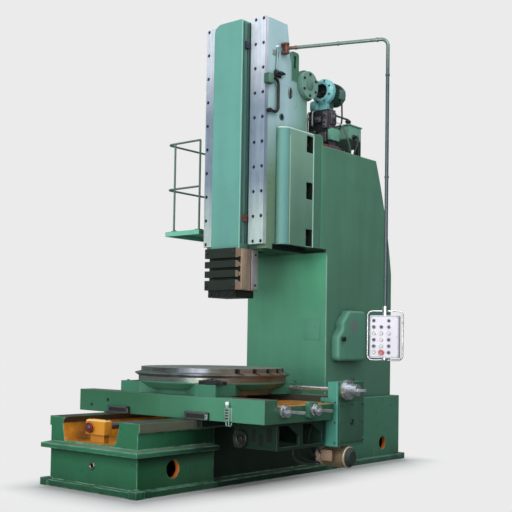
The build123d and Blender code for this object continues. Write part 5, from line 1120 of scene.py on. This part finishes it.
# Painted shade: near-black openings in the apron's front.
for wide, tall in (
    ((1.085, 1.150), (0.470, 0.600)), ((1.175, 1.240), (0.440, 0.560)), ((1.270, 1.350), (0.480, 0.620))
):
    lay_zone(apron_paint, srgb(8, 14, 10), 0.7, x=wide, y=(-far, -1.19), z=tall, soft=0.012)
dress(apron_paint, "apron_bracket")
flange_seat = at((flange_x, apron_front, flange_z), frontward)
flange = bmesh.new()
rim = [(0.034, 0.0), (0.034, 0.010), (0.048, 0.014), (0.084, 0.014), (0.088, 0.010), (0.088, -0.006)]
add_turned(flange, rim, flange_seat, 40)
finish_piece(flange, "apron_flange", "saddle", metal("flange_steel", srgb(84, 88, 84), 0.36))
flange_bolts = bmesh.new()
for place in ring_places((flange_x, apron_front - 0.014, flange_z), "Y", 0.066, 6):
    add_screw(flange_bolts, at(place, frontward), 0.009, 0.007)
add_turned(flange_bolts, [(0.030, -0.02), (0.030, 0.006), (0.022, 0.012), (0, 0.012)], flange_seat, 24)
finish_piece(flange_bolts, "apron_flange_bolts", "saddle", black_steel)

# Feed drive: a cast gearbox bolted to the saddle's end with a flange motor under it. The motor is
# primer-brown with a ribbed barrel, a pinkish terminal box and a dark fan cowl.
gear_cover = 1.532
gearbox_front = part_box("feed_gearbox")[0].y
shaft_end = (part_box("feed_gearbox")[1].x, -0.290, 0.965)
barrel = Vector((0.0, -0.200, 0.287))
terminal_face = -0.352
gearbox_paint = enamel("gearbox_enamel", srgb(80, 156, 138), edge=0.008)
# Painted shade: the right side is a darker copy of the green.
fade_zone(gearbox_paint, srgb(60, 104, 84), x=(1.5210, far))
dress(gearbox_paint, "feed_gearbox")
gearbox_cover = bmesh.new()
add_plate(gearbox_cover, (1.5215, -0.375, 0.44), (gear_cover, 0.060, 0.84), 0.003)
# Painted shade: the side cover takes the right side's darker green.
gear_cover_paint = enamel("gearbox_cover_enamel", srgb(60, 102, 82), wear=0.3, edge=0.003)
finish_piece(gearbox_cover, "gearbox_cover", "saddle", gear_cover_paint)
gearbox_bolts = bmesh.new()
gear_sight = (-0.157, 0.640)
for y, z in product((-0.350, -0.157, 0.035), (0.465, 0.640, 0.815)):
    if (y, z) != gear_sight:
        add_hex(gearbox_bolts, at((gear_cover, y, z), rightward), 0.019, 0.010)
for place in ring_places(shaft_end, "X", 0.082, 6):
    add_screw(gearbox_bolts, at(place, rightward), 0.008, 0.004)
for x, z in product((1.345, 1.493), (0.44, 0.64, 0.84)):
    add_screw(gearbox_bolts, at((x, gearbox_front, z), frontward), 0.010, 0.007)
gear_bolt_paint = enamel("gearbox_bolt_enamel", srgb(50, 88, 76), wear=0.8, edge=0.002)
finish_piece(gearbox_bolts, "gearbox_bolts", "saddle", gear_bolt_paint)
gearbox_sight = bmesh.new()
bezel = [(0.030, 0.0), (0.030, 0.008), (0.024, 0.012), (0.018, 0.012), (0.017, 0.006), (0, 0.006)]
add_turned(gearbox_sight, bezel, at((gear_cover, *gear_sight), rightward), 28)
breather = [(0.020, 0.0), (0.020, 0.010), (0.012, 0.014), (0.012, 0.026), (0.018, 0.030), (0.018, 0.040), (0, 0.044)]
add_turned(gearbox_sight, breather, at((1.464, -0.05, 1.042), upward), 24)
gear_sight_steel = metal("gearbox_sight_steel", srgb(84, 96, 90), 0.36)
finish_piece(gearbox_sight, "gearbox_oil_sight", "saddle", gear_sight_steel)
motor_brown = enamel("motor_brown", srgb(158, 134, 102), worn=srgb(190, 180, 160), wear=0.5, rough=0.4, edge=0.004)
lay_zone(motor_brown, srgb(40, 52, 46), 0.45, x=(1.540, far), soft=0.003)
lay_zone(motor_brown, srgb(168, 140, 130), 0.5, x=(-far, 1.232), soft=0.003)
dress(motor_brown, "feed_motor")
motor_ribs = bmesh.new()
add_plate(motor_ribs, (1.262, -0.0022, 0.094), (1.505, 0.0022, 0.106), 0.001, Matrix.Translation(barrel))
add_spread(motor_ribs, 26, barrel, rightward)
rib_paint = enamel("motor_rib_enamel", srgb(150, 126, 94), wear=0.4, edge=0.002)
finish_piece(motor_ribs, "feed_motor_ribs", "saddle", rib_paint)
motor_rings = bmesh.new()
ring = [(0.097, 0.0), (0.105, 0.0), (0.108, 0.003), (0.108, 0.013), (0.105, 0.016), (0.097, 0.016)]
for x in (1.236, 1.520):
    add_turned(motor_rings, ring, at((x, barrel.y, barrel.z), rightward), 48)
ring_bright = metal("motor_ring_steel", srgb(226, 218, 200), 0.3, metallic=0.7)
finish_piece(motor_rings, "feed_motor_rings", "saddle", ring_bright)
terminal_box = bmesh.new()
add_plate(terminal_box, (1.300, -0.345, 0.255), (1.420, -0.285, 0.355), 0.006)
add_plate(terminal_box, (1.294, terminal_face, 0.250), (1.426, -0.343, 0.360), 0.003)
for x, z in product((1.306, 1.414), (0.262, 0.348)):
    add_turned(terminal_box, lid_screw, at((x, terminal_face, z), frontward), 12)
terminal_paint = enamel("terminal_enamel", srgb(170, 142, 120), wear=0.4, edge=0.003)
finish_piece(terminal_box, "feed_motor_terminal_box", "saddle", terminal_paint)
motor_lead = bmesh.new()
add_tube(
    motor_lead, 0.010, (1.30, -0.315, 0.305), (1.27, -0.315, 0.305), (1.25, -0.33, 0.34), (1.25, -0.36, 0.42),
    (1.28, -0.39, 0.50), (1.34, -0.385, 0.52),
)
add_tube(
    motor_lead, 0.012, (1.28, -0.47, 0.66), (1.27, -0.50, 0.56), (1.24, -0.50, 0.44), (1.20, -0.42, 0.34),
    (1.17, -0.32, 0.28), (1.18, -0.25, 0.26),
)
add_tube(
    motor_lead, 0.010, (1.18, -0.49, 0.66), (1.17, -0.55, 0.52), (1.13, -0.56, 0.38), (1.12, -0.46, 0.27),
    (1.15, -0.34, 0.22), (1.20, -0.26, 0.21),
)
add_tube(
    motor_lead, 0.012, (1.08, -0.48, 0.42), (1.06, -0.52, 0.34), (1.07, -0.50, 0.25), (1.12, -0.42, 0.20),
    (1.18, -0.30, 0.20),
)
finish_piece(motor_lead, "feed_motor_lead", "saddle", plastic("lead_rubber", srgb(40, 40, 42), 0.5))

# Handwheel shafts: bright squared spindles for a loose crank, each behind a chromed dial with fine
# graduations and a knurled locking ring.
chrome = metal("dial_chrome_bright", srgb(208, 214, 220), 0.14, (30.0, 8.0, 8.0), 0.88, edge=0.003, bump=0.03)
dress(chrome, "feed_crank", "cross_screw", "feed_shaft")
dress(enamel("cross_bracket_enamel", srgb(70, 130, 104), edge=0.006), "cross_bracket")
dial_marks = metal("dial_mark_black", srgb(34, 34, 36), 0.5, metallic=0.2)
for body, x, y, z, radius, wide in (
    ("feed_crank", 1.473, -1.213, 0.786, 0.054, 0.066),
    ("cross_screw", 1.521, -0.796, 0.786, 0.054, 0.066),
    ("feed_shaft", *shaft_end, 0.095, 0.056),
):
    centre = Vector((0.0, y, z))
    seat = Matrix.Translation(centre)
    marks, knurl = bmesh.new(), bmesh.new()
    low, high = (x + wide * 0.50, -0.0007, radius - 0.001), (x + wide * 0.92, 0.0007, radius + 0.0007)
    add_plate(marks, low, high, 0.0003, seat, 1)
    add_spread(marks, 50, centre, rightward)
    finish_piece(marks, body + "_graduations", body, dial_marks)
    low, high = (x + wide * 0.10, -0.0022, radius - 0.002), (x + wide * 0.40, 0.0022, radius + 0.003)
    add_plate(knurl, low, high, 0.001, seat, 1)
    add_spread(knurl, 60, centre, rightward)
    finish_piece(knurl, body + "_knurl", body, chrome)
dress(metal("nut_bronze", srgb(158, 122, 78), 0.4), "feed_nut", "cross_nut", "worm_wheel")

# Cross slide: a four-eared cast plate on the saddle's cross ways with a turned neck for the table.
# Its neck is bare and brown with oil under the painted cone, and the bearing ring is bright.
table_axis = (0.210, -0.796, 0.0)
index_y, index_top = -1.432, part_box("index_block")[1].z
ear_top = 1.010


def axis_radius(tree, axis):
    """How far a point lies from an upright axis."""
    out = vector_node(tree, "SUBTRACT", object_spot(tree), axis)
    return vector_node(tree, "LENGTH", vector_node(tree, "MULTIPLY", out, (1.0, 1.0, 0.0)), output="Value")


cross_paint = enamel("cross_slide_enamel", srgb(64, 126, 100), edge=0.010)
cross_tree = cross_paint.node_tree
neck_round = ramp(cross_tree, axis_radius(cross_tree, table_axis), 0.6470, 0.6455)
neck_mask = times(cross_tree, neck_round, zone(cross_paint, x=(0.45, far), z=(-far, 0.9495)))
lay_over(cross_paint, neck_mask, *ground_look(cross_paint, srgb(104, 94, 66), (30.0, 30.0, 90.0), 0.34), 0.8)
dress(cross_paint, "cross_slide")
ring_steel = metal("bearing_ring_steel", srgb(112, 124, 118), 0.26, (4.0, 4.0, 160.0), 0.7)
fade_zone(ring_steel, srgb(134, 104, 82), x=(0.55, far), soft=0.45)
dress(ring_steel, "bearing_ring")
dress(enamel("index_black", srgb(40, 48, 46), worn=srgb(120, 124, 120), wear=0.8, edge=0.003), "index_block")
dress(metal("worm_steel", srgb(150, 150, 148), 0.3), "worm")
index_base = bmesh.new()
add_plate(index_base, (0.700, -1.462, ear_top), (0.871, -1.402, 1.022), 0.003)
add_plate(index_base, (0.640, -1.470, ear_top), (0.701, -1.434, 1.050), 0.004)
add_plate(index_base, (0.870, -1.470, ear_top), (0.952, -1.404, 1.046), 0.004)
pin = [(0.014, 0.0), (0.014, 0.016), (0.010, 0.022), (0, 0.023)]
add_turned(index_base, pin, at((0.785, index_y, index_top), upward), 20)
finish_piece(index_base, "index_block_base", "cross_slide", black_steel)
index_screws = bmesh.new()
for x in (0.73, 0.84):
    add_screw(index_screws, at((x, index_y, index_top), upward), 0.011, 0.008)
for x, y in ((-0.40, -1.42), (-0.40, -0.17), (0.82, -0.17)):
    add_screw(index_screws, at((x, y, ear_top), upward), 0.016, 0.010)
finish_piece(index_screws, "cross_slide_screws", "cross_slide", black_steel)

# Rotary table: a turned cast-iron disc with T-slots and a sharp flange, left bare and oiled; lathe marks
# run round its rim and across its top, with painted reflection streaks on the rim and painted shade in its slots.
slot_count, slot_pitch, slot_half = 5, 0.178, 0.0235
table_steel = metal("table_iron", srgb(84, 96, 92), 0.32, (3.0, 3.0, 140.0), 0.5, 0.004)
tree = table_steel.node_tree
fade_zone(table_steel, srgb(132, 110, 92), x=(0.60, far), soft=0.40)
# Painted reflections: dark and light streaks round the rim.
reflection_streaks = noise(tree, vector_node(tree, "MULTIPLY", object_spot(tree), (5.0, 5.0, 0.4)), 1.0, 4.0, 0.6)
fade_coat(table_steel, ramp(tree, reflection_streaks, 0.50, 0.66, 0.0, 0.8), srgb(66, 66, 70))
fade_coat(table_steel, ramp(tree, reflection_streaks, 0.44, 0.34, 0.0, 0.8), srgb(138, 140, 152))
lathe = {"W": times(tree, axis_radius(tree, table_axis), 260.0), "Scale": 1.0, "Detail": 4.0}
rings = node(tree, "ShaderNodeTexNoise", lathe, noise_dimensions="1D").outputs["Fac"]
turned_tone = shaded(tree, srgb(124, 134, 128), ramp(tree, rings, 0.3, 0.7, 0.82, 1.16))
lay_zone(table_steel, turned_tone, 0.42, 0.4, z=(1.1590, far), soft=0.0006)
# Painted shade inside the T-slots.
for number in range(slot_count):
    middle = table_axis[1] + (number - slot_count // 2) * slot_pitch
    slot = (middle - slot_half, middle + slot_half)
    lay_zone(table_steel, srgb(44, 40, 36), 0.6, 0.4, y=slot, z=(1.10, 1.1585), soft=0.0006)
dress(table_steel, "rotary_table")
scale_marks = bmesh.new()
seat = Matrix.Translation(table_axis)
add_plate(scale_marks, (-0.0008, 0.8045, 1.0950), (0.0008, 0.8064, 1.1015), 0.0002, seat, 1)
add_spread(scale_marks, 180, table_axis, upward)
finish_piece(scale_marks, "table_degree_marks", "table", dial_marks)

# Pendant arm: a bent steel tube that swings on two ears of the head and carries the control cable inside.
# Its lower end turns in a collar on the button box.
arm_place = Vector((0.480, 0.021, 0.0))
arm_turn = math.radians(20.0)
arm_along = Vector((math.cos(arm_turn), math.sin(arm_turn), 0.0))
arm_face = Vector((math.sin(arm_turn), -math.cos(arm_turn), 0.0))
arm_length, arm_top = 1.145, 4.691
arm_drop = arm_place + arm_along * arm_length
arm_paint = enamel("arm_enamel", srgb(116, 136, 130), worn=srgb(180, 184, 182), wear=0.6, rough=0.34, edge=0.003)
arm_paint.node_tree.nodes["Principled BSDF"].inputs["Metallic"].default_value = 0.6
# Painted shade: the arm's drop darkens below its horizontal run.
fade_zone(arm_paint, srgb(88, 100, 102), z=(-far, 4.62), soft=0.3)
fade_zone(arm_paint, srgb(122, 72, 62), x=(-far, 0.66), soft=0.12)
dress(arm_paint, "pendant_arm")
sleeve = [(0.019, -0.012), (0.0235, -0.010), (0.0235, 0.010), (0.019, 0.012)]
arm_rings = bmesh.new()
for share in (0.10, 0.52, 0.90):
    place = arm_place + arm_along * (arm_length * share) + Vector((0, 0, arm_top))
    add_turned(arm_rings, sleeve, at(place, arm_along), 24)
for z in (4.30, 3.20, 2.10):
    add_turned(arm_rings, sleeve, at(arm_drop + Vector((0, 0, z)), upward), 24)
finish_piece(arm_rings, "arm_sleeves", "pendant_arm", arm_paint)

# Button box: a white enamelled sheet box inside a chromed handle loop, with a grey seal round its panel,
# rimmed push buttons in five rows of three, and two signal lamps above them.
panel_turn = Matrix((arm_along, Vector((0, 0, 1)), arm_face)).transposed().to_4x4()
panel_seat = Matrix.Translation(arm_drop) @ panel_turn
panel_face = 0.048
panel_side, panel_low, panel_high = 0.150, 1.288, 1.720
seal_wide, seal_back, seal_face = 0.004, 0.0475, 0.0492
first_row, row_pitch = 1.606, 0.067
column_shift, column_pitch = -0.030, 0.080
box_paint = enamel(
    "panel_white_enamel", srgb(222, 218, 230), worn=srgb(150, 150, 156), wear=0.5, rough=0.35, edge=0.003, bump=0.1
)
dress(box_paint, "pendant_box")
dress(metal("handle_chrome", srgb(214, 216, 218), 0.16, (30.0, 30.0, 30.0)), "pendant_handle")
seal = bmesh.new()
for start, end, low, high in (
    (-panel_side, panel_side, panel_low, panel_low + seal_wide),
    (-panel_side, panel_side, panel_high - seal_wide, panel_high),
    (-panel_side, seal_wide - panel_side, panel_low, panel_high),
    (panel_side - seal_wide, panel_side, panel_low, panel_high),
):
    add_plate(seal, (start, low, seal_back), (end, high, seal_face), 0.0006, panel_seat, 1)
finish_piece(seal, "panel_seal", "pendant", plastic("seal_grey", srgb(120, 122, 122), 0.6))


def on_panel(x, z):
    """A frame on the panel's face that points out of it."""
    return at(panel_seat @ Vector((x, z, panel_face)), arm_face)


def button_seat(row, column):
    return on_panel(column_shift + (column - 1) * column_pitch, first_row - row * row_pitch)


bezels = bmesh.new()
for row, column in product(range(5), range(3)):
    r = 0.0285 if (row, column) == (4, 1) else 0.0165
    bezel = [(r, 0.0), (r, 0.0032), (r + 0.0015, 0.004), (r + 0.004, 0.0032), (r + 0.005, 0.0)]
    add_turned(bezels, bezel, button_seat(row, column), 24)
bezel_chrome = metal("bezel_chrome", srgb(190, 192, 194), 0.25)
finish_piece(bezels, "button_bezels", "pendant", bezel_chrome)
lamps, lamp_rims = bmesh.new(), bmesh.new()
for column in (0, 2):
    lens = [(0.0135, 0.0), (0.0135, 0.004), (0.010, 0.008), (0.005, 0.010), (0, 0.0105)]
    add_turned(lamps, lens, button_seat(-1, column), 24)
    rim = [(0.0135, 0.0), (0.0135, 0.003), (0.016, 0.004), (0.019, 0.003), (0.020, 0.0)]
    add_turned(lamp_rims, rim, button_seat(-1, column), 24)
finish_piece(lamps, "signal_lamps", "pendant", plastic("lamp_lens", srgb(64, 66, 66), 0.2, 0.02))
lamp_chrome = metal("lamp_rim_chrome", srgb(190, 192, 194), 0.25)
finish_piece(lamp_rims, "signal_lamp_rims", "pendant", lamp_chrome)
panel_screws = bmesh.new()
for x, z in product((-0.136, 0.136), (1.300, 1.504, 1.708)):
    add_turned(panel_screws, [(0.005, 0.0), (0.005, 0.002), (0.003, 0.003), (0, 0.0032)], on_panel(x, z), 12)
panel_zinc = metal("panel_screw_zinc", srgb(180, 182, 182), 0.3)
finish_piece(panel_screws, "panel_screws", "pendant", panel_zinc)
button_black = plastic("button_black", srgb(40, 44, 50), 0.35)
button_pale = plastic("button_pale", srgb(206, 206, 198), 0.35)
pale_places = ((2, 1), (2, 2), (2, 3), (3, 2), (4, 2), (5, 1))
for row, column in product(range(1, 6), range(1, 4)):
    if (row, column) != (5, 2):
        dress(button_pale if (row, column) in pale_places else button_black, f"button_{row}_{column}")
dress(plastic("button_stop_red", srgb(176, 36, 32), 0.3), "stop_button")

low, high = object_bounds()
